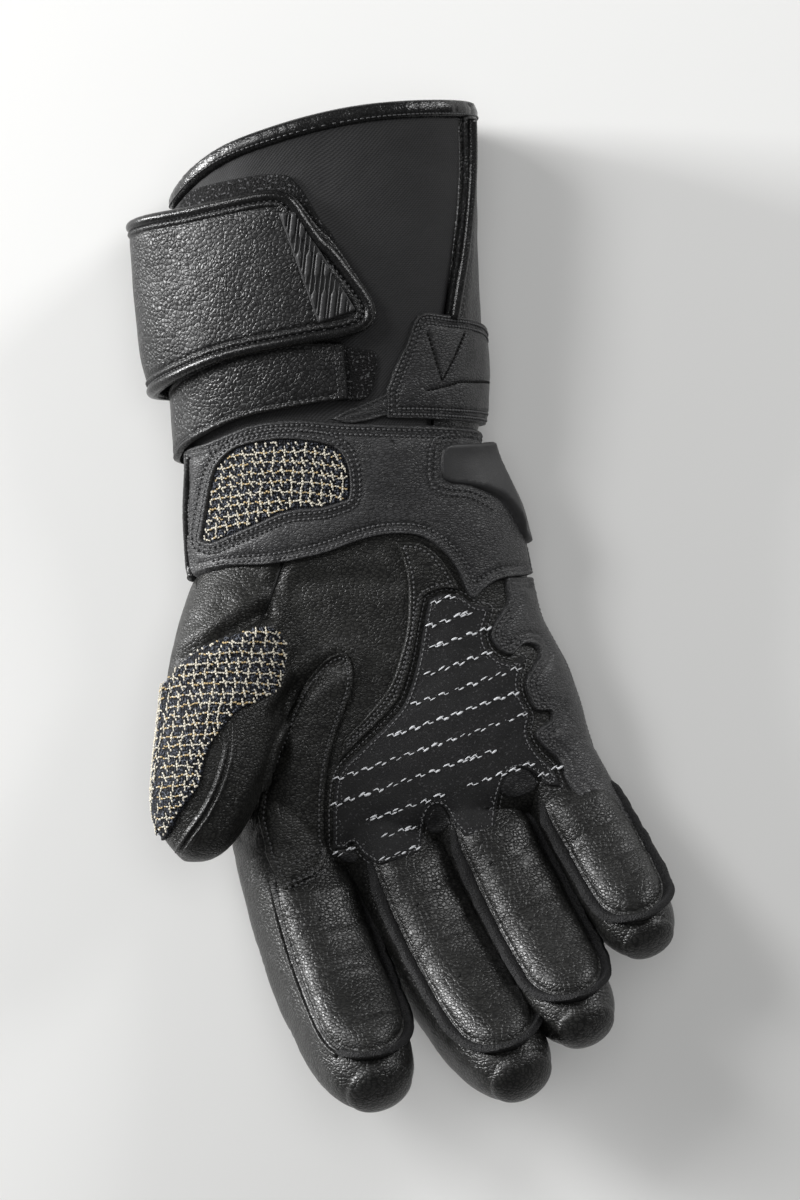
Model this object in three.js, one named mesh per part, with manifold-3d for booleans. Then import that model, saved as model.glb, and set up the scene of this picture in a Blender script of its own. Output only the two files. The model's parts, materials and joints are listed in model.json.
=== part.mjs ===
// Leather motorcycle glove for the right hand, lying on its back with the palm up.
// Millimetres, +Z up. +Y runs from the fingertips to the mouth of the cuff, +X to the little finger.
// The hand and the cuff are hollow leather and cloth walls, and every panel sewn on them is a plate
// cut from a shell that follows their surface.
import * as THREE from "three";
import { mergeVertices } from "three/addons/utils/BufferGeometryUtils.js";
import Module from "manifold-3d";

const wasm = await Module();
wasm.setup();

// Driving sizes of the hand and the cuff
const palmLength = 117; // wrist seam to the knuckle line
const palmWidth = 108;
const palmDepth = 48;
const cuffLength = 106; // wrist seam to the high corner of the mouth
const cuffWidth = 95;
const cuffDepth = 62;
const wristSeamY = 45;
const flatSink = 2.5; // how far the back would bulge below the floor if it were not flattened
const thumbWidth = 34;
const thumbDepth = 33;
const fingerLength = 117; // the middle finger from its root inside the palm
const fingerGirth = 30; // its width and depth

// Thicknesses and clearances
const handWall = 2;
const gap = 0.35;
const panelThickness = 1.4;
const patchThickness = 1;
const sliderThickness = 3;
const loopThickness = 1.2;
const bindingThickness = 1.5;
const bindingWidth = 3.4;
const pipingRadius = 1.4;
const wristStrapThickness = 1.9;
const closureStrapThickness = 2.6;
const strapEdgeRadius = 1.8;
const strapSlackHigh = 9; // how far the closure strap stands off at the thumb side, upper edge
const strapSlackLow = 2.6; // the same at its lower edge
const slackTurn = -84; // the angle round the cuff where it stands off most, and how wide that is
const slackSpread = 24;
const insertThickness = 0.6;
const insertRibHeight = 0.5;
const insertRibs = 15;
const frontThickness = 1.1;
const frontRimHeight = 1;
const sideWrapHeight = 15; // the panels that wrap round the sides end this far above the floor
const thumbWrapHeight = 29; // the same of the thumb's woven patch
const cuffSeamHeight = 24; // height of the cuff's seam at the thumb side

// Faceting
const bodySides = 20;
const fingerSides = 10;
const thumbSides = 12;
const bodyRoundness = 2.5;
const fingerRoundness = 2.6;
const thumbRoundness = 2.2;
const outlineSteps = 2;
const frameSteps = 60; // frames along a finger
const tubeSides = 6;
const leastRadius = 0.5;

// Sections of the palm from the wrist seam to the knuckles. along is a share of palmLength, centre
// and width of palmWidth, depth and lift of palmDepth. yaw turns a section to follow the knuckles.
const palmSections = [
  { along: 0.0, centre: -0.19, width: 0.806, depth: 1.08, lift: 0, yaw: 0 },
  { along: 0.179, centre: -0.139, width: 0.907, depth: 1.0, lift: 0, yaw: 0 },
  { along: 0.436, centre: -0.088, width: 0.935, depth: 0.94, lift: 0, yaw: 2 },
  { along: 0.6, centre: -0.032, width: 0.979, depth: 0.915, lift: 0, yaw: 5 },
  { along: 0.821, centre: 0.023, width: 1.009, depth: 0.86, lift: 0.01, yaw: 8 },
  { along: 0.936, centre: 0.046, width: 1.02, depth: 0.74, lift: 0.05, yaw: 11 },
  { along: 1.0, centre: 0.056, width: 0.963, depth: 0.5, lift: 0.12, yaw: 12 },
  { along: 1.03, centre: 0.062, width: 0.88, depth: 0.24, lift: 0.22, yaw: 12 },
];

// Sections of the cuff from the mouth down. up is a share of cuffLength, centre and width of
// cuffWidth, depth and lift of cuffDepth.
const cuffSections = [
  { up: 1.08, centre: -0.243, width: 0.925, depth: 0.92, lift: 0.1 },
  { up: 0.935, centre: -0.237, width: 0.935, depth: 0.94, lift: 0.09 },
  { up: 0.78, centre: -0.236, width: 0.95, depth: 0.95, lift: 0.05 },
  { up: 0.482, centre: -0.232, width: 0.965, depth: 0.95, lift: 0 },
  { up: 0.283, centre: -0.226, width: 0.97, depth: 0.9, lift: 0 },
  { up: 0.113, centre: -0.211, width: 0.94, depth: 0.855, lift: 0 },
];

// Stations of the thumb. across and along are shares of palmWidth and palmLength, height of
// palmDepth, width of thumbWidth and depth of thumbDepth.
const thumbStations = [
  { across: -0.365, along: 0.282, height: 0.46, width: 1.0, depth: 1.03 },
  { across: -0.41, along: 0.419, height: 0.54, width: 1.18, depth: 1.09 },
  { across: -0.461, along: 0.573, height: 0.69, width: 1.15, depth: 1.09 },
  { across: -0.497, along: 0.726, height: 0.81, width: 1.04, depth: 1.03 },
  { across: -0.524, along: 0.846, height: 0.875, width: 0.93, depth: 0.93 },
  { across: -0.553, along: 0.945, height: 0.906, width: 0.76, depth: 0.79 },
  { across: -0.578, along: 1.012, height: 0.917, width: 0.5, depth: 0.54 },
  { across: -0.59, along: 1.04, height: 0.917, width: 0.2, depth: 0.22 },
];

// Fingers. across and along place the root inside the palm, as shares of palmWidth and palmLength,
// height is a share of palmDepth, length of fingerLength and girth of fingerGirth, and angles are in
// degrees. The front panel starts at frontFrom, a share of the finger's own length.
const fingers = [
  { name: "index", across: -0.35, along: 0.83, height: 0.43, length: 0.957, girth: 1.033,
    splayRoot: 7, splayTip: 34, curl: 47, roll: 27, frontFrom: 0.38 },
  { name: "middle", across: -0.1, along: 0.82, height: 0.43, length: 1, girth: 1,
    splayRoot: 15, splayTip: 43, curl: 48, roll: 26, frontFrom: 0.31 },
  { name: "ring", across: 0.115, along: 0.74, height: 0.43, length: 0.923, girth: 0.933,
    splayRoot: 20, splayTip: 35, curl: 47, roll: 22, frontFrom: 0.33 },
  { name: "little", across: 0.345, along: 0.69, height: 0.43, length: 0.718, girth: 0.833,
    splayRoot: 27, splayTip: 32, curl: 43, roll: 18, frontFrom: 0.4 },
];

// How a finger narrows along its length, as shares of its length and girth.
const fingerProfile = [
  { along: 0.0, width: 0.64, depth: 0.6 },
  { along: 0.13, width: 0.93, depth: 0.92 },
  { along: 0.35, width: 1.0, depth: 1.0 },
  { along: 0.52, width: 1.02, depth: 1.01 },
  { along: 0.68, width: 1.01, depth: 0.98 },
  { along: 0.81, width: 0.97, depth: 0.92 },
  { along: 0.91, width: 0.87, depth: 0.8 },
  { along: 0.97, width: 0.67, depth: 0.6 },
  { along: 1.0, width: 0.36, depth: 0.3 },
];

// The mouth's edge in plan. across is a share of cuffWidth and up of cuffLength.
const mouthEdge = [
  { across: -1.0, up: 0.5 },
  { across: -0.77, up: 0.67 },
  { across: -0.62, up: 0.797 },
  { across: -0.442, up: 0.872 },
  { across: -0.1, up: 0.946 },
  { across: 0.42, up: 0.98 },
];

// The seam between the cloth and the leather of the cuff, from the mouth down, on the palm side.
const cuffSeam = [
  { across: 0.209, up: 1.06 },
  { across: 0.209, up: 0.983 },
  { across: 0.212, up: 0.802 },
  { across: 0.202, up: 0.649 },
  { across: 0.186, up: 0.527 },
  { across: 0.161, up: 0.385 },
  { across: 0.13, up: 0.2 },
  { across: 0.11, up: -0.02 },
];

// Outlines of the panels in plan. across is a share of palmWidth from the middle of the glove,
// along a share of palmLength from the wrist seam. A corner is sharp, the rest is one smooth line.
const heelOutline = [
  { across: -0.694, along: 0.005, corner: true },
  { across: -0.556, along: -0.008 },
  { across: -0.403, along: -0.06 },
  { across: -0.278, along: -0.072 },
  { across: -0.161, along: -0.064 },
  { across: 0.0, along: -0.06 },
  { across: 0.217, along: -0.054 },
  { across: 0.444, along: -0.026, corner: true },
  { across: 0.472, along: 0.321, corner: true },
  { across: 0.369, along: 0.323 },
  { across: 0.278, along: 0.331 },
  { across: 0.233, along: 0.354 },
  { across: 0.203, along: 0.385, corner: true },
  { across: 0.183, along: 0.367 },
  { across: 0.156, along: 0.31 },
  { across: 0.114, along: 0.259 },
  { across: 0.053, along: 0.223 },
  { across: -0.031, along: 0.218 },
  { across: -0.108, along: 0.233 },
  { across: -0.211, along: 0.267 },
  { across: -0.336, along: 0.292 },
  { across: -0.453, along: 0.3 },
  { across: -0.542, along: 0.318 },
  { across: -0.694, along: 0.359, corner: true },
];
const heelWindow = [
  { across: -0.539, along: 0.231, corner: true },
  { across: -0.528, along: 0.169 },
  { across: -0.508, along: 0.074 },
  { across: -0.486, along: 0.031 },
  { across: -0.439, along: -0.003 },
  { across: -0.342, along: -0.021 },
  { across: -0.253, along: -0.018 },
  { across: -0.183, along: -0.003 },
  { across: -0.15, along: 0.031 },
  { across: -0.139, along: 0.087 },
  { across: -0.142, along: 0.126, corner: true },
  { across: -0.211, along: 0.146 },
  { across: -0.308, along: 0.156 },
  { across: -0.397, along: 0.19 },
  { across: -0.467, along: 0.218 },
  { across: -0.514, along: 0.236 },
];
const sliderOutline = [
  { across: 0.103, along: 0.0 },
  { across: 0.122, along: -0.012 },
  { across: 0.239, along: -0.012 },
  { across: 0.42, along: -0.012, corner: true },
  { across: 0.43, along: 0.251, corner: true },
  { across: 0.356, along: 0.231 },
  { across: 0.3, along: 0.177 },
  { across: 0.253, along: 0.131 },
  { across: 0.189, along: 0.1 },
  { across: 0.128, along: 0.09 },
  { across: 0.103, along: 0.074 },
];
const sideOutline = [
  { across: 0.286, along: 0.344, corner: true },
  { across: 0.294, along: 0.39 },
  { across: 0.261, along: 0.438 },
  { across: 0.247, along: 0.472 },
  { across: 0.267, along: 0.508 },
  { across: 0.306, along: 0.526 },
  { across: 0.339, along: 0.5 },
  { across: 0.369, along: 0.505 },
  { across: 0.381, along: 0.528 },
  { across: 0.361, along: 0.559 },
  { across: 0.344, along: 0.592 },
  { across: 0.353, along: 0.633 },
  { across: 0.375, along: 0.667 },
  { across: 0.411, along: 0.669 },
  { across: 0.414, along: 0.692 },
  { across: 0.372, along: 0.723 },
  { across: 0.394, along: 0.759 },
  { across: 0.439, along: 0.8 },
  { across: 0.461, along: 0.851 },
  { across: 0.495, along: 0.89, corner: true },
  { across: 0.667, along: 0.8, corner: true },
  { across: 0.667, along: 0.336, corner: true },
];
const gripOutline = [
  { across: 0.078, along: 0.383, corner: true },
  { across: 0.119, along: 0.368 },
  { across: 0.17, along: 0.374 },
  { across: 0.206, along: 0.398 },
  { across: 0.247, along: 0.403, corner: true },
  { across: 0.229, along: 0.472 },
  { across: 0.252, along: 0.522 },
  { across: 0.3, along: 0.545 },
  { across: 0.34, along: 0.53 },
  { across: 0.325, along: 0.592 },
  { across: 0.336, along: 0.641 },
  { across: 0.358, along: 0.68 },
  { across: 0.35, along: 0.723 },
  { across: 0.38, along: 0.776 },
  { across: 0.422, along: 0.815 },
  { across: 0.444, along: 0.862, corner: true },
  { across: 0.403, along: 0.856 },
  { across: 0.367, along: 0.826 },
  { across: 0.325, along: 0.813 },
  { across: 0.289, along: 0.838 },
  { across: 0.267, along: 0.903 },
  { across: 0.261, along: 0.979, corner: true },
  { across: 0.183, along: 0.992, corner: true },
  { across: 0.153, along: 0.959 },
  { across: 0.119, along: 0.91 },
  { across: 0.083, along: 0.915 },
  { across: 0.061, along: 0.974 },
  { across: 0.056, along: 1.031, corner: true },
  { across: -0.058, along: 1.062, corner: true },
  { across: -0.1, along: 1.033 },
  { across: -0.125, along: 1.003 },
  { across: -0.15, along: 1.02 },
  { across: -0.186, along: 1.02, corner: true },
  { across: -0.184, along: 0.903 },
  { across: -0.168, along: 0.823 },
  { across: -0.106, along: 0.762 },
  { across: -0.037, along: 0.7 },
  { across: 0.013, along: 0.641 },
  { across: 0.046, along: 0.544 },
  { across: 0.063, along: 0.451 },
];
const channelOutline = [
  { across: -0.018, along: 0.233, corner: true },
  { across: 0.053, along: 0.238 },
  { across: 0.103, along: 0.27 },
  { across: 0.14, along: 0.316 },
  { across: 0.166, along: 0.362, corner: true },
  { across: 0.119, along: 0.356 },
  { across: 0.066, along: 0.374, corner: true },
  { across: 0.05, along: 0.451 },
  { across: 0.032, along: 0.541 },
  { across: -0.001, along: 0.633 },
  { across: -0.051, along: 0.69 },
  { across: -0.118, along: 0.75 },
  { across: -0.168, along: 0.8, corner: true },
  { across: -0.158, along: 0.741, corner: true },
  { across: -0.078, along: 0.662 },
  { across: -0.025, along: 0.595 },
  { across: 0.006, along: 0.51 },
  { across: 0.02, along: 0.446 },
  { across: 0.022, along: 0.346 },
  { across: 0.006, along: 0.277 },
];
const webOutline = [
  { across: -0.178, along: 0.521 },
  { across: -0.15, along: 0.518 },
  { across: -0.131, along: 0.551 },
  { across: -0.128, along: 0.603 },
  { across: -0.144, along: 0.651 },
  { across: -0.168, along: 0.708 },
  { across: -0.189, along: 0.774 },
  { across: -0.204, along: 0.862 },
  { across: -0.208, along: 0.956 },
  { across: -0.207, along: 1.031 },
  { across: -0.217, along: 1.074, corner: true },
  { across: -0.278, along: 1.11 },
  { across: -0.319, along: 1.128, corner: true },
  { across: -0.347, along: 1.074 },
  { across: -0.372, along: 1.005 },
  { across: -0.39, along: 0.94, corner: true },
  { across: -0.375, along: 0.84 },
  { across: -0.35, along: 0.75 },
  { across: -0.305, along: 0.67 },
  { across: -0.262, along: 0.595 },
  { across: -0.211, along: 0.54 },
];
const thumbPatchOutline = [
  { across: -0.75, along: 0.6, corner: true },
  { across: -0.642, along: 0.595 },
  { across: -0.594, along: 0.546 },
  { across: -0.528, along: 0.503 },
  { across: -0.447, along: 0.472 },
  { across: -0.372, along: 0.454 },
  { across: -0.333, along: 0.472 },
  { across: -0.319, along: 0.508 },
  { across: -0.336, along: 0.603 },
  { across: -0.386, along: 0.638 },
  { across: -0.447, along: 0.669 },
  { across: -0.494, along: 0.721 },
  { across: -0.528, along: 0.774 },
  { across: -0.547, along: 0.851 },
  { across: -0.594, along: 0.913 },
  { across: -0.628, along: 0.974 },
  { across: -0.664, along: 1.015, corner: true },
  { across: -0.75, along: 1.015, corner: true },
];

// Bands that wrap the cuff. turn is the angle round the section in degrees, from the middle of the
// palm side towards the little finger. high and low are the band's edges as shares of cuffLength.
const closureStrapRows = [
  { turn: -122, high: 0.63, low: 0.142 },
  { turn: -110, high: 0.635, low: 0.145 },
  { turn: -98, high: 0.637, low: 0.147 },
  { turn: -84, high: 0.642, low: 0.15 },
  { turn: -68, high: 0.657, low: 0.172 },
  { turn: -50, high: 0.672, low: 0.204 },
  { turn: -30, high: 0.694, low: 0.244 },
  { turn: -10, high: 0.715, low: 0.276 },
  { turn: -5, high: 0.675, low: 0.285 },
  { turn: 1, high: 0.575, low: 0.298 },
  { turn: 7, high: 0.475, low: 0.314 },
  { turn: 12.5, high: 0.405, low: 0.34 },
];
const wristStrapRows = [
  { turn: -122, high: 0.119, low: -0.04 },
  { turn: -108, high: 0.122, low: -0.038 },
  { turn: -97, high: 0.124, low: -0.034 },
  { turn: -84, high: 0.17, low: -0.026 },
  { turn: -68, high: 0.198, low: 0.006 },
  { turn: -50, high: 0.232, low: 0.04 },
  { turn: -30, high: 0.269, low: 0.083 },
  { turn: -8, high: 0.297, low: 0.116 },
  { turn: 3.3, high: 0.292, low: 0.136 },
];
const upperLoopRows = [
  { turn: -70, high: 0.66, low: 0.32 },
  { turn: -58, high: 0.716, low: 0.32 },
  { turn: -33, high: 0.745, low: 0.32 },
  { turn: -15, high: 0.759, low: 0.32 },
  { turn: -7, high: 0.737, low: 0.32 },
  { turn: 0, high: 0.62, low: 0.32 },
  { turn: 8, high: 0.42, low: 0.32 },
];
const lowerLoopRows = [
  { turn: -60, high: 0.22, low: 0.13 },
  { turn: -30, high: 0.283, low: 0.13 },
  { turn: 0, high: 0.283, low: 0.13 },
  { turn: 9.7, high: 0.275, low: 0.145 },
  { turn: 13.5, high: 0.27, low: 0.227 },
];
const anchorTabRows = [
  { turn: 16, high: 0.164, low: 0.082 },
  { turn: 20, high: 0.227, low: 0.082 },
  { turn: 25, high: 0.295, low: 0.082 },
  { turn: 31, high: 0.374, low: 0.082 },
  { turn: 45, high: 0.374, low: 0.08 },
  { turn: 60, high: 0.368, low: 0.078 },
  { turn: 75, high: 0.357, low: 0.076 },
  { turn: 90, high: 0.34, low: 0.074 },
  { turn: 105, high: 0.329, low: 0.072 },
];
const insertRows = [
  { turn: -10.5, high: 0.625, low: 0.61 },
  { turn: -6.5, high: 0.622, low: 0.5 },
  { turn: -1.2, high: 0.53, low: 0.365 },
  { turn: 4.2, high: 0.415, low: 0.385 },
];

const colours = {
  smoothLeather: { color: 0x1d1d1e, roughness: 0.45, metalness: 0 },
  greyLeather: { color: 0x2b2c2e, roughness: 0.6, metalness: 0 },
  strapLeather: { color: 0x222224, roughness: 0.5, metalness: 0 },
  cloth: { color: 0x1c1c1d, roughness: 0.9, metalness: 0 },
  loop: { color: 0x0c0c0d, roughness: 1, metalness: 0 },
  woven: { color: 0x5b5850, roughness: 0.85, metalness: 0 },
  gripCloth: { color: 0x161617, roughness: 0.9, metalness: 0 },
  rubber: { color: 0x333436, roughness: 0.55, metalness: 0 },
};

const up = new THREE.Vector3(0, 0, 1);
const radians = THREE.MathUtils.degToRad;
const lerp = THREE.MathUtils.lerp;

// A closed triangle mesh as a solid, turned the right way out.
function solidFrom(points, faces) {
  const geometry = new THREE.BufferGeometry().setFromPoints(points);
  geometry.setIndex(faces);
  const merged = mergeVertices(geometry, 1e-4);
  const triVerts = new Uint32Array(merged.index.array);
  const make = () => new wasm.Manifold(new wasm.Mesh({
    numProp: 3, vertProperties: merged.attributes.position.array, triVerts,
  }));
  const made = make();
  if (made.volume() > 0) return made;
  for (let i = 0; i < triVerts.length; i += 3) {
    [triVerts[i + 1], triVerts[i + 2]] = [triVerts[i + 2], triVerts[i + 1]];
  }
  return make();
}

// A three.js geometry as a solid.
function solidOfGeometry(geometry) {
  const bare = geometry.index ? geometry.toNonIndexed() : geometry;
  const points = [];
  const position = bare.getAttribute("position");
  for (let i = 0; i < position.count; i += 1) {
    points.push(new THREE.Vector3().fromBufferAttribute(position, i));
  }
  return solidFrom(points, points.map((_, i) => i));
}

// Rings of points joined into a closed skin, with a fan over each end.
function loft(rings) {
  const sides = rings[0].length;
  const points = rings.flat();
  const faces = [];
  for (let r = 0; r + 1 < rings.length; r += 1) {
    for (let i = 0; i < sides; i += 1) {
      const j = (i + 1) % sides;
      const [a, b] = [r * sides + i, r * sides + j];
      faces.push(a, b, b + sides, a, b + sides, a + sides);
    }
  }
  [0, rings.length - 1].forEach((r, end) => {
    const middle = points.length;
    points.push(rings[r].reduce((sum, p) => sum.add(p), new THREE.Vector3()).divideScalar(sides));
    for (let i = 0; i < sides; i += 1) {
      const [a, b] = [r * sides + i, r * sides + ((i + 1) % sides)];
      faces.push(...(end ? [a, b, middle] : [b, a, middle]));
    }
  });
  return solidFrom(points, faces);
}

// A plate between two grids of points of the same shape.
function plate(outer, inner) {
  const rows = outer.length;
  const columns = outer[0].length;
  const points = [...outer.flat(), ...inner.flat()];
  const below = rows * columns;
  const at = (r, c) => r * columns + c;
  const faces = [];
  for (let r = 0; r + 1 < rows; r += 1) {
    for (let c = 0; c + 1 < columns; c += 1) {
      const [p, q, s, t] = [at(r, c), at(r, c + 1), at(r + 1, c + 1), at(r + 1, c)];
      faces.push(p, q, s, p, s, t);
      faces.push(below + p, below + s, below + q, below + p, below + t, below + s);
    }
  }
  const rim = [];
  for (let c = 0; c + 1 < columns; c += 1) rim.push(at(0, c));
  for (let r = 0; r + 1 < rows; r += 1) rim.push(at(r, columns - 1));
  for (let c = columns - 1; c > 0; c -= 1) rim.push(at(rows - 1, c));
  for (let r = rows - 1; r > 0; r -= 1) rim.push(at(r, 0));
  rim.forEach((p, i) => {
    const q = rim[(i + 1) % rim.length];
    faces.push(q, p, below + p, q, below + p, below + q);
  });
  return solidFrom(points, faces);
}

// A point of a superellipse, turn in degrees from the middle of the palm side.
function onSection(turn, halfWidth, halfDepth, roundness) {
  const bend = (v) => Math.sign(v) * Math.abs(v) ** (2 / roundness);
  return [halfWidth * bend(Math.sin(radians(turn))), halfDepth * bend(Math.cos(radians(turn)))];
}

// The cuff and palm as one row of sections, with real sizes.
const bodySections = [
  ...cuffSections.map((s) => ({
    y: wristSeamY + s.up * cuffLength, x: s.centre * cuffWidth, halfWidth: (s.width * cuffWidth) / 2,
    halfDepth: (s.depth * cuffDepth) / 2, base: s.lift * cuffDepth - flatSink, yaw: 0,
  })),
  ...palmSections.map((s) => ({
    y: wristSeamY - s.along * palmLength, x: s.centre * palmWidth, halfWidth: (s.width * palmWidth) / 2,
    halfDepth: (s.depth * palmDepth) / 2, base: s.lift * palmDepth - flatSink, yaw: s.yaw,
  })),
];

function bodyRing(section, offset, push) {
  const right = new THREE.Vector3(Math.cos(radians(section.yaw)), Math.sin(radians(section.yaw)), 0);
  const centre = new THREE.Vector3(section.x, section.y - push, section.base + section.halfDepth);
  return Array.from({ length: bodySides }, (_, i) => {
    const [x, z] = onSection(
      (i * 360) / bodySides, section.halfWidth + offset, section.halfDepth + offset, bodyRoundness,
    );
    return centre.clone().addScaledVector(right, x).addScaledVector(up, z);
  });
}

const farAbove = 3 * cuffDepth;
function slab(low, high) {
  const span = 4 * (palmLength + cuffLength + fingerLength);
  const box = new THREE.BoxGeometry(span, span, high - low);
  return solidOfGeometry(box.translate(0, 0, (low + high) / 2));
}

// The body grown by offset, flattened underneath by the same amount above the floor.
function body(offset) {
  const last = bodySections.length - 1;
  const rings = bodySections.map((s, i) => bodyRing(s, offset, i === last ? offset : 0));
  return loft(rings).intersect(slab(-offset, farAbove));
}

function planPoint(share) {
  return new THREE.Vector2(share.across * palmWidth, wristSeamY - share.along * palmLength);
}

// The frames along a finger: it bends towards the palm, more so near its tip.
function fingerFrames(finger) {
  const step = (finger.length * fingerLength) / frameSteps;
  const root = planPoint(finger);
  const place = new THREE.Vector3(root.x, root.y, finger.height * palmDepth);
  const frames = [];
  for (let i = 0; i <= frameSteps; i += 1) {
    const t = i / frameSteps;
    const pitch = radians(finger.curl * THREE.MathUtils.smoothstep(t, 0.05, 1));
    const splay = radians(lerp(finger.splayRoot, finger.splayTip, t));
    const roll = radians(finger.roll);
    const ahead = new THREE.Vector3(
      Math.sin(splay) * Math.cos(pitch), -Math.cos(splay) * Math.cos(pitch), Math.sin(pitch),
    );
    const level = new THREE.Vector3(Math.cos(splay), Math.sin(splay), 0);
    const facing = new THREE.Vector3().crossVectors(ahead, level);
    const right = level.clone().multiplyScalar(Math.cos(roll)).addScaledVector(facing, -Math.sin(roll));
    const palmward = facing.multiplyScalar(Math.cos(roll)).addScaledVector(level, Math.sin(roll));
    frames.push({ place: place.clone(), ahead, right, palmward, isRoot: i === 0 });
    place.addScaledVector(ahead, step);
  }
  return (t) => frames[Math.round(THREE.MathUtils.clamp(t, 0, 1) * frameSteps)];
}

// Width and depth of a finger at a share of its length, between the rows of its profile.
function profileAt(t) {
  const next = fingerProfile.findIndex((row) => row.along >= t);
  if (next <= 0) return fingerProfile[0];
  const [a, b] = [fingerProfile[next - 1], fingerProfile[next]];
  const part = (t - a.along) / (b.along - a.along);
  return { width: lerp(a.width, b.width, part), depth: lerp(a.depth, b.depth, part) };
}

// A point of a finger grown by offset. Its two ends move out with its sides.
function fingerPoint(finger, frame, size, turn, offset) {
  const endPush = frame.isRoot ? -offset : offset * (1 - size.width);
  const half = (finger.girth * fingerGirth) / 2;
  const [x, z] = onSection(
    turn,
    Math.max(leastRadius, size.width * half + offset),
    Math.max(leastRadius, size.depth * half + offset),
    fingerRoundness,
  );
  return frame.place.clone()
    .addScaledVector(frame.right, x)
    .addScaledVector(frame.palmward, z)
    .addScaledVector(frame.ahead, endPush);
}

function fingerSolid(finger, offset) {
  const frameAt = fingerFrames(finger);
  const rings = fingerProfile.map((row) => {
    const frame = frameAt(row.along);
    return Array.from({ length: fingerSides }, (_, i) => (
      fingerPoint(finger, frame, row, (i * 360) / fingerSides, offset)
    ));
  });
  return loft(rings);
}

function thumbSolid(offset) {
  const middles = thumbStations.map((s) => {
    const p = planPoint(s);
    return new THREE.Vector3(p.x, p.y, s.height * palmDepth);
  });
  const line = new THREE.CatmullRomCurve3(middles);
  const rings = thumbStations.map((s, k) => {
    const ahead = line.getTangent(k / (thumbStations.length - 1));
    const right = new THREE.Vector3().crossVectors(up, ahead).normalize().negate();
    const palmward = new THREE.Vector3().crossVectors(ahead, right).normalize();
    const push = offset * Math.max(0, 1 - s.width);
    return Array.from({ length: thumbSides }, (_, i) => {
      const [x, z] = onSection(
        (i * 360) / thumbSides,
        Math.max(leastRadius, (s.width * thumbWidth) / 2 + offset),
        Math.max(leastRadius, (s.depth * thumbDepth) / 2 + offset),
        thumbRoundness,
      );
      return middles[k].clone()
        .addScaledVector(right, x).addScaledVector(palmward, z).addScaledVector(ahead, push);
    });
  });
  return loft(rings);
}

// The whole hand grown by offset. Each offset is worked out once.
const grownHands = new Map();
function hand(offset) {
  if (!grownHands.has(offset)) {
    const parts = [body(offset), thumbSolid(offset), ...fingers.map((f) => fingerSolid(f, offset))];
    grownHands.set(offset, parts.reduce((whole, part) => whole.add(part)));
  }
  return grownHands.get(offset);
}

// A smooth closed outline in plan, with straight turns only at its corners.
function outlinePoints(rows) {
  const points = rows.map(planPoint);
  const first = Math.max(0, rows.findIndex((row) => row.corner));
  const order = rows.map((_, i) => (first + i) % rows.length);
  const runs = [[order[0]]];
  for (const i of order.slice(1)) {
    runs.at(-1).push(i);
    if (rows[i].corner) runs.push([i]);
  }
  runs.at(-1).push(order[0]);
  const flat = (i) => new THREE.Vector3(points[i].x, points[i].y, 0);
  return runs.filter((run) => run.length > 1).flatMap((run) => {
    const curve = new THREE.CatmullRomCurve3(run.map(flat), false, "centripetal");
    const steps = run.length === 2 ? 1 : (run.length - 1) * outlineSteps;
    return curve.getPoints(steps).slice(0, -1).map((p) => new THREE.Vector2(p.x, p.y));
  });
}

// An outline moved outwards by distance, or inwards if it is negative.
function moveOutline(points, distance) {
  const side = THREE.ShapeUtils.isClockWise(points) ? -1 : 1;
  return points.map((p, i) => {
    const before = points.at(i - 1);
    const after = points[(i + 1) % points.length];
    const along = after.clone().sub(before).normalize();
    return new THREE.Vector2(p.x + along.y * side * distance, p.y - along.x * side * distance);
  });
}

function prism(points, low, high) {
  const geometry = new THREE.ExtrudeGeometry(new THREE.Shape(points), {
    depth: high - low, bevelEnabled: false,
  });
  return solidOfGeometry(geometry.translate(0, 0, low));
}

// The largest body of a cut, without the slivers that a coarse surface leaves.
function mainBody(solid) {
  return solid.decompose().reduce((best, part) => (part.volume() > best.volume() ? part : best));
}

// A panel sewn over the hand: a shell that follows the surface, cut by its outline.
function panel(points, low, inner, thickness) {
  const shell = hand(inner + thickness).subtract(hand(inner));
  return mainBody(shell.intersect(prism(points, low, farAbove)));
}

// The body's section at a height along the glove.
function sectionAt(y) {
  const next = bodySections.findIndex((s) => s.y <= y);
  if (next <= 0) return bodySections[next < 0 ? bodySections.length - 1 : 0];
  const [a, b] = [bodySections[next - 1], bodySections[next]];
  const part = (a.y - y) / (a.y - b.y);
  const mix = (key) => lerp(a[key], b[key], part);
  return { x: mix("x"), halfWidth: mix("halfWidth"), halfDepth: mix("halfDepth"), base: mix("base") };
}

function cuffPoint(turn, y, offset) {
  const s = sectionAt(y);
  const [x, z] = onSection(turn, s.halfWidth + offset, s.halfDepth + offset, bodyRoundness);
  return new THREE.Vector3(s.x + x, y, s.base + s.halfDepth + z);
}

// High and low edge of a band at an angle, between the rows of its table.
function bandEdges(rows, turn) {
  const next = Math.max(1, rows.findIndex((row) => row.turn >= turn - 1e-6));
  const [a, b] = [rows[next - 1], rows[next]];
  const part = (turn - a.turn) / (b.turn - a.turn);
  return {
    high: wristSeamY + lerp(a.high, b.high, part) * cuffLength,
    low: wristSeamY + lerp(a.low, b.low, part) * cuffLength,
  };
}

// A band round the cuff. turns are the angles of its rows, inset narrows it, and the two functions
// give the offset of its faces from the cuff at an angle and a height along it.
function band(rows, turns, across, inset, outerOffset, innerOffset) {
  const shares = Array.from({ length: across + 1 }, (_, i) => i / across);
  const surface = (offsetAt) => turns.map((turn) => {
    const { high, low } = bandEdges(rows, turn);
    return shares.map((t) => {
      const y = lerp(high - inset.high(turn), low + inset.low(turn), t);
      return cuffPoint(turn, y, offsetAt(turn, y));
    });
  });
  return plate(surface(outerOffset), surface(innerOffset));
}

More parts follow.
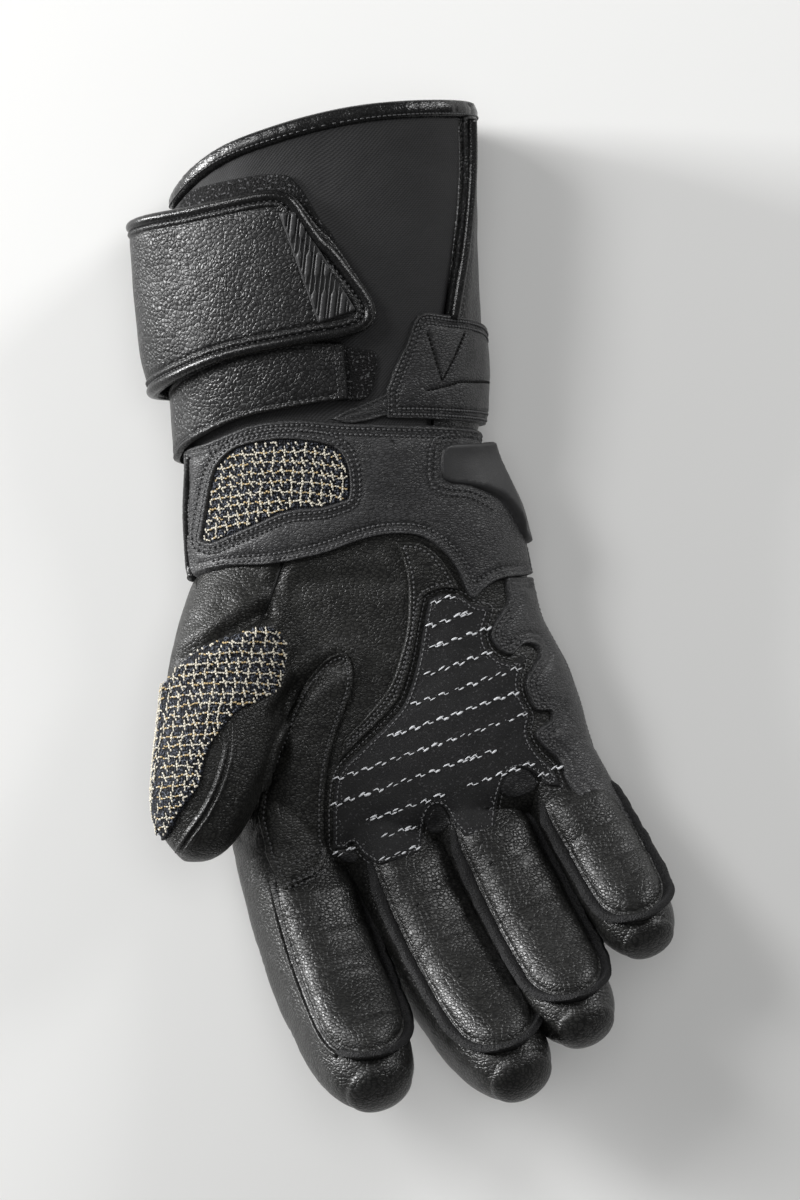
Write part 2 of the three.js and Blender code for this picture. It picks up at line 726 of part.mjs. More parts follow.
function turnsOf(rows, widest) {
  return rows.flatMap((row, i) => {
    if (i === rows.length - 1) return [row.turn];
    const span = rows[i + 1].turn - row.turn;
    const pieces = Math.ceil(span / widest);
    return Array.from({ length: pieces }, (_, k) => row.turn + (span * k) / pieces);
  });
}

const bandStep = 13; // widest turn between two rows of a band
const noInset = { high: () => 0, low: () => 0 };
const plain = (offset) => () => offset;
const glove = new THREE.Group();

function addNode(name, solid, colour) {
  const mesh = solid.getMesh();
  const points = new Float32Array(mesh.numVert * 3);
  for (let i = 0; i < mesh.numVert; i += 1) {
    points.set(mesh.vertProperties.subarray(i * mesh.numProp, i * mesh.numProp + 3), i * 3);
  }
  const geometry = new THREE.BufferGeometry();
  geometry.setAttribute("position", new THREE.BufferAttribute(points, 3));
  geometry.setIndex(new THREE.BufferAttribute(mesh.triVerts, 1));
  geometry.computeVertexNormals();
  const node = new THREE.Mesh(geometry, new THREE.MeshStandardMaterial(colours[colour]));
  node.name = name;
  glove.add(node);
}

// Hand: a hollow palm, open to the cuff and to each finger, and five hollow finger pieces.
const farUp = wristSeamY + 2 * cuffLength;
const farDown = wristSeamY - 4 * palmLength;
const farSide = 3 * palmWidth;
function planSlab(lowY, highY) {
  const corners = [[-farSide, lowY], [farSide, lowY], [farSide, highY], [-farSide, highY]];
  return prism(corners.map(([x, y]) => new THREE.Vector2(x, y)), -cuffDepth, farAbove);
}
const outerBody = body(0);
const innerBody = body(-handWall);
const bodyWall = outerBody.subtract(innerBody);
const clearBody = body(gap);
const thumbCavity = thumbSolid(-handWall);
const fingerCavities = fingers.map((f) => fingerSolid(f, -handWall));

function addHand() {
  const openings = [thumbCavity, ...fingerCavities].reduce((all, one) => all.add(one));
  const palm = bodyWall.subtract(openings).intersect(planSlab(farDown, wristSeamY - gap / 2));
  addNode("palm_shell", mainBody(palm), "smoothLeather");
  let taken = clearBody;
  fingers.forEach((finger, i) => {
    const wall = fingerSolid(finger, 0).subtract(fingerCavities[i]).subtract(taken);
    addNode(`${finger.name}_finger`, mainBody(wall), "smoothLeather");
    taken = taken.add(fingerSolid(finger, gap));
  });
  addNode("thumb", mainBody(thumbSolid(0).subtract(thumbCavity).subtract(taken)), "smoothLeather");
}

// The leather front of each finger, with a raised sewn rim down both sides and round the tip. It
// reaches halfSpan degrees to each side, and rounds off from tipFrom to its end at frontTo.
function addFingerFronts() {
  const halfSpan = 50;
  const columns = [-1, -0.8, -0.45, 0, 0.45, 0.8, 1];
  const tipFrom = 0.8;
  const frontTo = 0.95;
  const tipLeast = 0.12;
  const rowCount = 8;
  const rowCrowding = 0.8; // under 1 the rows lie closer towards the tip
  fingers.forEach((finger) => {
    const neighbours = fingers.filter((other) => other !== finger);
    const frameAt = fingerFrames(finger);
    const surface = (offsetAt) => Array.from({ length: rowCount }, (_, r) => {
      const t = lerp(finger.frontFrom, frontTo, (r / (rowCount - 1)) ** rowCrowding);
      const pastTip = Math.max(0, (t - tipFrom) / (frontTo - tipFrom));
      const narrowing = Math.sqrt(Math.max(tipLeast, 1 - pastTip ** 2));
      const size = profileAt(t);
      return columns.map((c) => (
        fingerPoint(finger, frameAt(t), size, c * halfSpan * narrowing, offsetAt(c, r))
      ));
    });
    const rim = (c, r) => (Math.abs(c) > 0.9 || r === rowCount - 1 ? frontRimHeight : 0);
    const outer = (c, r) => gap + frontThickness + rim(c, r);
    const block = plate(surface(outer), surface(plain(-handWall / 2)));
    const front = neighbours.reduce(
      (rest, other) => rest.subtract(fingerSolid(other, gap)), block.subtract(fingerSolid(finger, gap)),
    );
    addNode(`${finger.name}_front`, mainBody(front), "smoothLeather");
  });
}

// Cuff: a cloth palm side and a leather back, joined along a seam with a piping, and bound at the
// mouth.
function mouthKeep(shift) {
  const edge = new THREE.SplineCurve(mouthEdge.map((m) => (
    new THREE.Vector2(m.across * cuffWidth, wristSeamY + m.up * cuffLength + shift)
  ))).getPoints(mouthEdge.length);
  const bottom = [[farSide / 2, farDown], [-farSide / 2, farDown]];
  const sides = [new THREE.Vector2(farSide / 2, edge.at(-1).y), new THREE.Vector2(-farSide / 2, edge[0].y)];
  const points = [...edge, sides[0], ...bottom.map(([x, y]) => new THREE.Vector2(x, y)), sides[1]];
  return prism(points, -cuffDepth, farAbove);
}

function seamPoints(shift) {
  return new THREE.SplineCurve(cuffSeam.map((s) => (
    new THREE.Vector2(s.across * cuffWidth + shift, wristSeamY + s.up * cuffLength)
  ))).getPoints(cuffSeam.length * 2);
}

function clothSide(shift) {
  const seam = seamPoints(shift);
  const points = [
    new THREE.Vector2(seam[0].x, farUp), ...seam, new THREE.Vector2(seam.at(-1).x, farDown),
    new THREE.Vector2(-farSide, farDown), new THREE.Vector2(-farSide, farUp),
  ];
  return prism(points, cuffSeamHeight - shift, farAbove);
}

function addCuff() {
  const cuffWall = bodyWall.intersect(planSlab(wristSeamY + gap / 2, farUp)).intersect(mouthKeep(0));
  addNode("cuff_palm_side", mainBody(cuffWall.intersect(clothSide(0))), "cloth");
  addNode("cuff_back_side", mainBody(cuffWall.subtract(clothSide(gap))), "strapLeather");
  const reach = gap + bindingThickness;
  const channel = body(reach).subtract(body(-handWall - reach))
    .intersect(mouthKeep(reach)).subtract(mouthKeep(-bindingWidth));
  const seat = body(gap).subtract(body(-handWall - gap)).intersect(mouthKeep(gap));
  addNode("mouth_binding", mainBody(channel.subtract(seat)), "strapLeather");
}

function roundSection(radius) {
  return new THREE.Shape(Array.from({ length: tubeSides }, (_, i) => {
    const angle = (i * 2 * Math.PI) / tubeSides;
    return new THREE.Vector2(radius * Math.cos(angle), radius * Math.sin(angle));
  }));
}

function addCuffPiping() {
  const tabTop = wristSeamY + Math.max(...anchorTabRows.map((row) => row.high)) * cuffLength;
  const seam = seamPoints(0);
  const topY = wristSeamY + cuffLength - bindingWidth - bindingThickness - gap;
  const line = seam.filter((p) => p.y < topY && p.y > tabTop + pipingRadius).map((p) => {
    const s = sectionAt(p.y);
    const lift = gap + pipingRadius;
    const share = Math.abs(p.x - s.x) / (s.halfWidth + lift);
    const z = (s.halfDepth + lift) * (1 - share ** bodyRoundness) ** (1 / bodyRoundness);
    return new THREE.Vector3(p.x, p.y, s.base + s.halfDepth + z);
  });
  const tube = new THREE.ExtrudeGeometry(roundSection(pipingRadius), {
    steps: 12, extrudePath: new THREE.CatmullRomCurve3(line), bevelEnabled: false,
  });
  addNode("cuff_piping", solidOfGeometry(tube), "strapLeather");
}

// Straps: the wide closure strap with a rolled edge and a ribbed insert, and the wrist strap below.
const wristStrapInner = gap + panelThickness + gap;
const wristStrapOuter = wristStrapInner + wristStrapThickness;
const strapMiddleHigh = gap + loopThickness + gap + strapEdgeRadius;
const strapMiddleLow = wristStrapOuter + gap + strapEdgeRadius;
// From sewnFrom to sewnTo, towards the back, a strap comes down to the cuff that it is sewn to.
const sewnFrom = -96;
const wristSewnFrom = -106;
const sewnTo = -118;

function seated(turn) {
  return THREE.MathUtils.smoothstep(-turn, -sewnFrom, -sewnTo);
}

// How far the closure strap's middle surface is from the cuff, at an angle and a height along it.
function strapMiddle(turn, y) {
  const { high, low } = bandEdges(closureStrapRows, turn);
  const t = THREE.MathUtils.clamp((high - y) / (high - low), 0, 1);
  const lying = lerp(strapMiddleHigh, strapMiddleLow, t);
  const sewn = gap + strapEdgeRadius;
  const away = (turn - slackTurn) / slackSpread;
  const slack = lerp(strapSlackHigh, strapSlackLow, t) * Math.exp(-(away ** 2));
  return lerp(lying, sewn, seated(turn)) + slack;
}

function edgeSlope(rows, key, turn) {
  const step = 1.5;
  const [a, b] = [Math.max(rows[0].turn, turn - step), Math.min(rows.at(-1).turn, turn + step)];
  const [ya, yb] = [bandEdges(rows, a)[key], bandEdges(rows, b)[key]];
  const run = cuffPoint(b, ya, 0).distanceTo(cuffPoint(a, ya, 0));
  return Math.hypot(1, (yb - ya) / run);
}

function addClosureStrap() {
  const inset = 2 * (strapEdgeRadius + gap);
  const tip = closureStrapRows.at(-1).turn;
  const tipInset = 5.2; // degrees that the strap's face ends short of its rolled edge
  const insetTurns = turnsOf(closureStrapRows, bandStep).filter((turn) => turn < tip - tipInset - 0.8);
  insetTurns.push(tip - tipInset);
  const narrow = {
    high: (turn) => inset * edgeSlope(closureStrapRows, "high", turn),
    low: (turn) => inset * edgeSlope(closureStrapRows, "low", turn),
  };
  const half = closureStrapThickness / 2;
  const outer = (turn, y) => strapMiddle(turn, y) + half;
  const inner = (turn, y) => strapMiddle(turn, y) - half;
  addNode("closure_strap", band(closureStrapRows, insetTurns, 4, narrow, outer, inner), "strapLeather");

  const edgeTurns = turnsOf(closureStrapRows, bandStep);
  const edgePoint = (turn, key) => {
    const inwards = key === "high" ? -strapEdgeRadius : strapEdgeRadius;
    const y = bandEdges(closureStrapRows, turn)[key] + inwards * edgeSlope(closureStrapRows, key, turn);
    return cuffPoint(turn, y, strapMiddle(turn, y));
  };
  const { high, low } = bandEdges(closureStrapRows, tip);
  const nose = cuffPoint(tip, (high + low) / 2, strapMiddle(tip, (high + low) / 2));
  const beforeTip = edgeTurns.slice(0, -1);
  const line = [
    ...beforeTip.map((turn) => edgePoint(turn, "high")),
    nose,
    ...beforeTip.reverse().map((turn) => edgePoint(turn, "low")),
  ];
  const tube = new THREE.ExtrudeGeometry(roundSection(strapEdgeRadius), {
    steps: 46, extrudePath: new THREE.CatmullRomCurve3(line, false, "centripetal"), bevelEnabled: false,
  });
  addNode("strap_rolled_edge", solidOfGeometry(tube), "strapLeather");

  const ribTurns = Array.from({ length: 2 * insertRibs + 1 }, (_, i) => (
    lerp(insertRows[0].turn, insertRows.at(-1).turn, i / (2 * insertRibs))
  ));
  const seat = (turn, y) => strapMiddle(turn, y) + half + gap;
  const ribbed = (turn, y) => {
    const i = Math.round(((turn - ribTurns[0]) / (ribTurns.at(-1) - ribTurns[0])) * 2 * insertRibs);
    return seat(turn, y) + insertThickness + (i % 2 ? insertRibHeight : 0);
  };
  const insert = band(insertRows, ribTurns, 1, noInset, ribbed, seat);
  addNode("strap_ribbed_insert", insert, "rubber");
}

function addWristStrap() {
  const drop = (turn) => (
    lerp(wristStrapInner, gap, THREE.MathUtils.smoothstep(-turn, -wristSewnFrom, -sewnTo))
  );
  const turns = turnsOf(wristStrapRows, bandStep);
  const strap = band(
    wristStrapRows, turns, 2, noInset, (turn) => drop(turn) + wristStrapThickness, drop,
  );
  addNode("wrist_strap", strap, "strapLeather");
}

function cuffPatch(rows, thickness) {
  const block = band(rows, turnsOf(rows, bandStep), 1, noInset, plain(gap + thickness), plain(-handWall));
  return mainBody(block.subtract(clearBody));
}

function addCuffPatches() {
  addNode("upper_loop_patch", cuffPatch(upperLoopRows, loopThickness), "loop");
  addNode("lower_loop_patch", cuffPatch(lowerLoopRows, loopThickness), "loop");
  addNode("anchor_tab", cuffPatch(anchorTabRows, panelThickness), "smoothLeather");
}

// Panels sewn over the palm, the heel of the hand and the thumb.
function addPanels() {
  const middle = palmDepth / 2;
  const heel = panel(outlinePoints(heelOutline), sideWrapHeight, gap, panelThickness);
  const window = outlinePoints(heelWindow);
  const opened = heel.subtract(prism(window, middle, farAbove));
  addNode("heel_panel", mainBody(opened), "greyLeather");
  const wovenHeel = panel(moveOutline(window, -2 * gap), middle / 2, gap, patchThickness);
  addNode("heel_woven_patch", wovenHeel, "woven");
  const overHeel = gap + panelThickness + gap;
  const slider = panel(outlinePoints(sliderOutline), sideWrapHeight, overHeel, sliderThickness);
  addNode("palm_slider", slider, "rubber");
  const side = panel(outlinePoints(sideOutline), sideWrapHeight, gap, panelThickness);
  addNode("side_panel", side, "greyLeather");
  addNode("palm_grip_panel", panel(outlinePoints(gripOutline), middle, gap, patchThickness), "gripCloth");
  const channel = panel(outlinePoints(channelOutline), middle, gap, panelThickness);
  addNode("palm_channel_strip", channel, "smoothLeather");
  addNode("thumb_web_patch", panel(outlinePoints(webOutline), middle, gap, panelThickness), "smoothLeather");
  const thumbPatch = panel(outlinePoints(thumbPatchOutline), thumbWrapHeight, gap, patchThickness);
  addNode("thumb_woven_patch", thumbPatch, "woven");
}

addHand();
addFingerFronts();
addCuff();
addCuffPiping();
addClosureStrap();
addWristStrap();
addCuffPatches();
addPanels();

// The origin is under the middle of the whole glove, on the surface it lies on.
const bounds = new THREE.Box3().setFromObject(glove);
const middle = bounds.getCenter(new THREE.Vector3());
glove.position.set(-middle.x, -middle.y, -bounds.min.z);

export default glove;
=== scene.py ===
import json
import math
import random

import bmesh
import bpy
import numpy as np
from mathutils import Matrix, Vector, geometry, kdtree, noise
from mathutils.bvhtree import BVHTree

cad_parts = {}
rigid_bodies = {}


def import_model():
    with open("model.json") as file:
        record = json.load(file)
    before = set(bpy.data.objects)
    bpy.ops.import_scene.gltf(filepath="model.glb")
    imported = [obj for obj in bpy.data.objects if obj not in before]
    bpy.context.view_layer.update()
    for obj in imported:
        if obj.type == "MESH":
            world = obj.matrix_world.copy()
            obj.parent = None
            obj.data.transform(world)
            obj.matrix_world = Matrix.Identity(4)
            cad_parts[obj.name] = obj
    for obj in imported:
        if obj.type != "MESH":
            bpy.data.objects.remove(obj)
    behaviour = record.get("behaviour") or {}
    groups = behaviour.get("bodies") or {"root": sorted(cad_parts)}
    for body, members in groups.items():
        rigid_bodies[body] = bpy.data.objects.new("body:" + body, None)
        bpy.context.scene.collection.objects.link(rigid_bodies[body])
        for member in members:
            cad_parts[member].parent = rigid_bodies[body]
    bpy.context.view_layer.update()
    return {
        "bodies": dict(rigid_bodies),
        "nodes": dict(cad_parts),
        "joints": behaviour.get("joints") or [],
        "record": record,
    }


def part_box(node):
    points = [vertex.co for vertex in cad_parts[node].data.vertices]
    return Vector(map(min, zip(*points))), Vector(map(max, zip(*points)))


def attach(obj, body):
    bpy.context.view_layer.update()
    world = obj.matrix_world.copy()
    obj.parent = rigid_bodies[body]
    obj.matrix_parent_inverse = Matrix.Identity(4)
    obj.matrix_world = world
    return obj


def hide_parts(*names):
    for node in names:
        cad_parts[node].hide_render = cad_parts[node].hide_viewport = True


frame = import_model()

# A leather motorcycle glove for the right hand, lying on its back with the palm up.
# Lengths are in millimetres until a piece is finished, and +Y runs from the fingertips to the cuff.
random.seed(7)

glove = {
    "palmLength": 117, "palmWidth": 108, "palmDepth": 48,
    "cuffLength": 106, "cuffWidth": 95, "cuffDepth": 62,
    "wristSeam": 45, "flatSink": 2.5,
    "thumbWidth": 34, "thumbDepth": 33,
    "fingerLength": 117, "fingerGirth": 30,
    "wall": 2.0, "gap": 0.35, "farUp": 200,
    "bodyRoundness": 2.5, "fingerRoundness": 2.6, "thumbRoundness": 2.2,
}
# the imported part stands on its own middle, a little off the middle that the outlines use
frameShift = Vector((-0.025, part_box("palm_shell")[1].y * 1000 - glove["wristSeam"] + 0.175, 0))
toFrame = Matrix.Scale(0.001, 4) @ Matrix.Translation(frameShift)

# Outlines in plan: shares of the palm's width from the middle of the glove and of its length from
# the wrist seam towards the fingers. A third entry marks a sharp corner.
heelOutline = [
    (-0.694, 0.005, 1), (-0.556, -0.008), (-0.403, -0.06), (-0.278, -0.072), (-0.161, -0.064),
    (0, -0.06), (0.217, -0.054), (0.444, -0.026, 1), (0.472, 0.321, 1), (0.369, 0.323), (0.278, 0.331),
    (0.233, 0.354), (0.203, 0.385, 1), (0.183, 0.367), (0.156, 0.31), (0.114, 0.259), (0.053, 0.223),
    (-0.031, 0.218), (-0.108, 0.233), (-0.211, 0.267), (-0.336, 0.292), (-0.453, 0.3), (-0.542, 0.318),
    (-0.694, 0.359, 1),
]
heelWindow = [
    (-0.539, 0.231, 1), (-0.528, 0.169), (-0.508, 0.074), (-0.486, 0.031), (-0.439, -0.003),
    (-0.342, -0.021), (-0.253, -0.018), (-0.183, -0.003), (-0.15, 0.031), (-0.139, 0.087),
    (-0.142, 0.126, 1), (-0.211, 0.146), (-0.308, 0.156), (-0.397, 0.19), (-0.467, 0.218),
    (-0.514, 0.236),
]
sliderOutline = [
    (0.103, 0), (0.122, -0.012), (0.239, -0.012), (0.42, -0.012, 1), (0.43, 0.251, 1), (0.356, 0.231),
    (0.3, 0.177), (0.253, 0.131), (0.189, 0.1), (0.128, 0.09), (0.103, 0.074),
]
sideOutline = [
    (0.286, 0.344, 1), (0.294, 0.39), (0.261, 0.438), (0.247, 0.472), (0.267, 0.508), (0.306, 0.526),
    (0.339, 0.5), (0.369, 0.505), (0.381, 0.528), (0.361, 0.559), (0.344, 0.592), (0.353, 0.633),
    (0.375, 0.667), (0.411, 0.669), (0.414, 0.692), (0.372, 0.723), (0.394, 0.759), (0.439, 0.8),
    (0.461, 0.851), (0.505, 0.9), (0.56, 0.945), (0.605, 0.975, 1), (0.7, 0.93, 1), (0.7, 0.336, 1),
]
gripOutline = [
    (0.078, 0.383, 1), (0.119, 0.368), (0.17, 0.374), (0.206, 0.398), (0.247, 0.403, 1), (0.229, 0.472),
    (0.252, 0.522), (0.3, 0.545), (0.34, 0.53), (0.325, 0.592), (0.336, 0.641), (0.358, 0.68),
    (0.35, 0.723), (0.38, 0.776), (0.422, 0.815), (0.444, 0.862, 1), (0.403, 0.856), (0.367, 0.826),
    (0.325, 0.813), (0.289, 0.838), (0.267, 0.903), (0.261, 0.979, 1), (0.183, 0.992, 1),
    (0.153, 0.959), (0.119, 0.91), (0.083, 0.915), (0.061, 0.974), (0.056, 1.031, 1),
    (-0.058, 1.062, 1), (-0.1, 1.033), (-0.125, 1.003), (-0.15, 1.02), (-0.186, 1.02, 1),
    (-0.184, 0.903), (-0.168, 0.823), (-0.106, 0.762), (-0.037, 0.7), (0.013, 0.641), (0.046, 0.544),
    (0.063, 0.451),
]
channelOutline = [
    (-0.018, 0.233, 1), (0.053, 0.238), (0.103, 0.27), (0.14, 0.316), (0.166, 0.362, 1), (0.119, 0.356),
    (0.066, 0.374, 1), (0.05, 0.451), (0.032, 0.541), (-0.001, 0.633), (-0.051, 0.69), (-0.118, 0.75),
    (-0.168, 0.8, 1), (-0.158, 0.741, 1), (-0.078, 0.662), (-0.025, 0.595), (0.006, 0.51),
    (0.02, 0.446), (0.022, 0.346), (0.006, 0.277),
]
webOutline = [
    (-0.178, 0.521), (-0.15, 0.518), (-0.131, 0.551), (-0.128, 0.603), (-0.144, 0.651), (-0.168, 0.708),
    (-0.189, 0.774), (-0.204, 0.862), (-0.208, 0.956), (-0.207, 1.031), (-0.217, 1.074, 1),
    (-0.278, 1.11), (-0.319, 1.128, 1), (-0.347, 1.074), (-0.372, 1.005), (-0.39, 0.94, 1),
    (-0.375, 0.84), (-0.35, 0.75), (-0.305, 0.67), (-0.262, 0.595), (-0.211, 0.54),
]
thumbPatchOutline = [
    (-0.75, 0.6, 1), (-0.642, 0.595), (-0.594, 0.546), (-0.528, 0.503), (-0.447, 0.472),
    (-0.372, 0.454), (-0.333, 0.472), (-0.319, 0.508), (-0.336, 0.603), (-0.386, 0.638),
    (-0.447, 0.669), (-0.494, 0.721), (-0.528, 0.774), (-0.547, 0.851), (-0.594, 0.913),
    (-0.628, 0.974), (-0.664, 1.015, 1), (-0.75, 1.015, 1),
]
closureStrapRows = [
    (-122, 0.63, 0.142), (-110, 0.635, 0.145), (-98, 0.637, 0.147), (-84, 0.642, 0.15),
    (-68, 0.657, 0.172), (-50, 0.672, 0.204), (-30, 0.694, 0.244), (-10, 0.715, 0.276),
    (-5, 0.675, 0.285), (1, 0.575, 0.298), (7, 0.475, 0.314), (12.5, 0.405, 0.34),
]
wristStrapRows = [
    (-122, 0.119, -0.04), (-108, 0.122, -0.038), (-97, 0.124, -0.034), (-84, 0.17, -0.026),
    (-68, 0.198, 0.006), (-50, 0.232, 0.04), (-30, 0.269, 0.083), (-8, 0.297, 0.116),
    (3.3, 0.292, 0.136),
]
upperLoopRows = [
    (-70, 0.66, 0.32), (-58, 0.716, 0.32), (-33, 0.745, 0.32), (-15, 0.759, 0.32), (-7, 0.737, 0.32),
    (0, 0.62, 0.32), (8, 0.42, 0.32),
]
lowerLoopRows = [
    (-60, 0.22, 0.13), (-30, 0.283, 0.13), (0, 0.283, 0.13), (9.7, 0.275, 0.145), (13.5, 0.27, 0.227),
]
anchorTabRows = [
    (16, 0.164, 0.082), (20, 0.227, 0.082), (25, 0.295, 0.082), (31, 0.374, 0.082), (45, 0.374, 0.08),
    (60, 0.368, 0.078), (75, 0.357, 0.076), (90, 0.34, 0.074), (105, 0.329, 0.072),
]
mouthEdge = [
    (-1, 0.5), (-0.77, 0.67), (-0.62, 0.797), (-0.442, 0.872), (-0.1, 0.946), (0.42, 0.98),
]
cuffSeam = [
    (0.209, 1.06), (0.209, 0.983), (0.212, 0.802), (0.202, 0.649), (0.186, 0.527), (0.161, 0.385),
    (0.13, 0.2), (0.11, -0.02),
]
palmSections = [
    (0, -0.19, 0.806, 1.08, 0, 0), (0.179, -0.139, 0.907, 1, 0, 0), (0.436, -0.088, 0.935, 0.94, 0, 2),
    (0.6, -0.032, 0.979, 0.915, 0, 5), (0.821, 0.023, 1.009, 0.86, 0.01, 8),
    (0.936, 0.046, 1.02, 0.74, 0.05, 11), (1, 0.056, 0.963, 0.5, 0.12, 12),
    (1.03, 0.062, 0.88, 0.24, 0.22, 12),
]
cuffSections = [
    (1.08, -0.243, 0.925, 0.92, 0.1), (0.935, -0.237, 0.935, 0.94, 0.09),
    (0.78, -0.236, 0.95, 0.95, 0.05), (0.482, -0.232, 0.965, 0.95, 0), (0.283, -0.226, 0.97, 0.9, 0),
    (0.113, -0.211, 0.94, 0.855, 0),
]
thumbStations = [
    (-0.365, 0.282, 0.46, 1, 1.03), (-0.41, 0.419, 0.54, 1.18, 1.09), (-0.461, 0.573, 0.69, 1.15, 1.09),
    (-0.497, 0.726, 0.81, 1.04, 1.03), (-0.524, 0.846, 0.875, 0.93, 0.93),
    (-0.553, 0.945, 0.906, 0.76, 0.79), (-0.578, 1.012, 0.917, 0.5, 0.54),
    (-0.59, 1.04, 0.917, 0.2, 0.22),
]
fingerProfile = [
    (0, 0.64, 0.6), (0.13, 0.93, 0.92), (0.35, 1, 1), (0.52, 1.02, 1.01), (0.68, 1.01, 0.98),
    (0.81, 0.97, 0.92), (0.91, 0.87, 0.8), (0.97, 0.67, 0.6), (1, 0.36, 0.3),
]

# Fingers: the root's place in the palm, length and girth as shares, the splay at the root and the
# tip, the curl and the roll in degrees, and where the front panel starts along the finger.
fingers = {
    "index": dict(across=-0.35, along=0.83, length=0.957, girth=1.033, splay=(7, 34), curl=47,
                  roll=27, frontFrom=0.38, creases=(0.5, 0.655, 0.84), holes=(0.43, 0.56)),
    "middle": dict(across=-0.1, along=0.82, length=1.0, girth=1.0, splay=(15, 43), curl=48,
                   roll=26, frontFrom=0.31, creases=(0.385, 0.55, 0.78), holes=(0.33, 0.62)),
    "ring": dict(across=0.115, along=0.74, length=0.923, girth=0.933, splay=(20, 35), curl=47,
                 roll=22, frontFrom=0.33, creases=(0.42, 0.6, 0.79), holes=(0.35, 0.68)),
    "little": dict(across=0.345, along=0.69, length=0.718, girth=0.833, splay=(27, 32), curl=43,
                   roll=18, frontFrom=0.4, creases=(0.53, 0.7), holes=()),
}


def lerp(a, b, share):
    return a + (b - a) * share


def smoothstep(value, low, high):
    share = min(1.0, max(0.0, (value - low) / (high - low)))
    return share * share * (3 - 2 * share)


def planPoint(row):
    return (row[0] * glove["palmWidth"], glove["wristSeam"] - row[1] * glove["palmLength"])


def curvePoint(before, a, b, after, share):
    # one point of a smooth curve between a and b
    return tuple(
        0.5 * (2 * q + (r - p) * share + (2 * p - 5 * q + 4 * r - s) * share ** 2
               + (3 * q - p - 3 * r + s) * share ** 3)
        for p, q, r, s in zip(before, a, b, after)
    )


def smoothRun(points, spacing):
    made = []
    last = len(points) - 1
    for i in range(last):
        a, b = points[i], points[i + 1]
        before = points[i - 1] if i else tuple(2 * p - q for p, q in zip(a, b))
        after = points[i + 2] if i + 2 <= last else tuple(2 * q - p for p, q in zip(a, b))
        steps = max(1, round(math.dist(a, b) / spacing))
        made += [curvePoint(before, a, b, after, k / steps) for k in range(steps)]
    return made + [tuple(points[last])]


def tableAt(rows, value):
    # a smooth row between the rows of a table, looked up by its first column
    i = 1
    while i < len(rows) - 1 and rows[i][0] < value:
        i += 1
    a, b = rows[i - 1], rows[i]
    before = rows[i - 2] if i > 1 else a
    after = rows[i + 1] if i + 1 < len(rows) else b
    span = b[0] - a[0]
    t = min(1.0, max(0.0, (value - a[0]) / span))
    keepA, keepB = 2 * t ** 3 - 3 * t ** 2 + 1, 3 * t ** 2 - 2 * t ** 3
    leanA = (t ** 3 - 2 * t ** 2 + t) * span / (b[0] - before[0])
    leanB = (t ** 3 - t ** 2) * span / (after[0] - a[0])
    return [
        keepA * q + leanA * (r - p) + keepB * r + leanB * (s - q)
        for p, q, r, s in zip(before, a, b, after)
    ]


def closedOutline(points, spacing=0.8):
    # the table's points as one dense closed line, bent only at its marked corners
    first = next((i for i, row in enumerate(points) if len(row) > 2), 0)
    order = [points[(first + i) % len(points)] for i in range(len(points))] + [points[first]]
    runs = [[order[0][:2]]]
    for row in order[1:]:
        runs[-1].append(row[:2])
        if len(row) > 2:
            runs.append([row[:2]])
    line = []
    for run in runs:
        if len(run) > 1:
            line += smoothRun(run, spacing)[:-1]
    return line


def planOutline(rows, spacing=0.8):
    return closedOutline([planPoint(row) + tuple(row[2:]) for row in rows], spacing)


def onSection(turn, halfWidth, halfDepth, roundness):
    angle = math.radians(turn)
    s, c = math.sin(angle), math.cos(angle)
    power = 2 / roundness
    return (halfWidth * math.copysign(abs(s) ** power, s), halfDepth * math.copysign(abs(c) ** power, c))


# The body's sections from the mouth to the knuckles, with real sizes, by their distance down the glove
bodyRows = [
    (-(glove["wristSeam"] + up * glove["cuffLength"]), centre * glove["cuffWidth"],
     width * glove["cuffWidth"] / 2, depth * glove["cuffDepth"] / 2,
     lift * glove["cuffDepth"] - glove["flatSink"], 0)
    for up, centre, width, depth, lift in cuffSections
] + [
    (-(glove["wristSeam"] - along * glove["palmLength"]), centre * glove["palmWidth"],
     width * glove["palmWidth"] / 2, depth * glove["palmDepth"] / 2,
     lift * glove["palmDepth"] - glove["flatSink"], yaw)
    for along, centre, width, depth, lift, yaw in palmSections
]


def bodyPoint(turn, y, offset=0.0):
    row = tableAt(bodyRows, -y)
    x, z = onSection(turn, row[2] + offset, row[3] + offset, glove["bodyRoundness"])
    yaw = math.radians(row[5])
    point = Vector((row[1] + x * math.cos(yaw), y + x * math.sin(yaw), row[4] + row[3] + z))
    point.z = max(point.z, -offset if offset < 0 else 0.0)
    return point


def cuffFrame(turn, y, offset=0.0):
    # a point off the cuff and the way that the cuff faces there
    here = bodyPoint(turn, y, offset)
    around = bodyPoint(turn + 1.5, y, offset) - bodyPoint(turn - 1.5, y, offset)
    along = bodyPoint(turn, y + 1, offset) - bodyPoint(turn, y - 1, offset)
    facing = along.cross(around)
    facing = facing.normalized() if facing.length > 1e-9 else Vector((0, 0, 1))
    middle = bodyPoint(0, y)
    middle.z = tableAt(bodyRows, -y)[4] + tableAt(bodyRows, -y)[3]
    if facing.dot(here - middle) < 0:
        facing.negate()
    return here, facing


def turnAtX(x, y):
    # the turn on the palm side of the cuff where it stands at x in plan
    row = tableAt(bodyRows, -y)
    share = max(-1.0, min(1.0, (x - row[1]) / row[2]))
    s = math.copysign(abs(share) ** (glove["bodyRoundness"] / 2), share)
    return math.degrees(math.asin(s))


def turnAtHeight(z, y):
    # the turn on the thumb side where the cuff stands at a height
    row = tableAt(bodyRows, -y)
    share = max(-1.0, min(1.0, (z - row[4] - row[3]) / row[3]))
    c = math.copysign(abs(share) ** (glove["bodyRoundness"] / 2), share)
    return -math.degrees(math.acos(c))


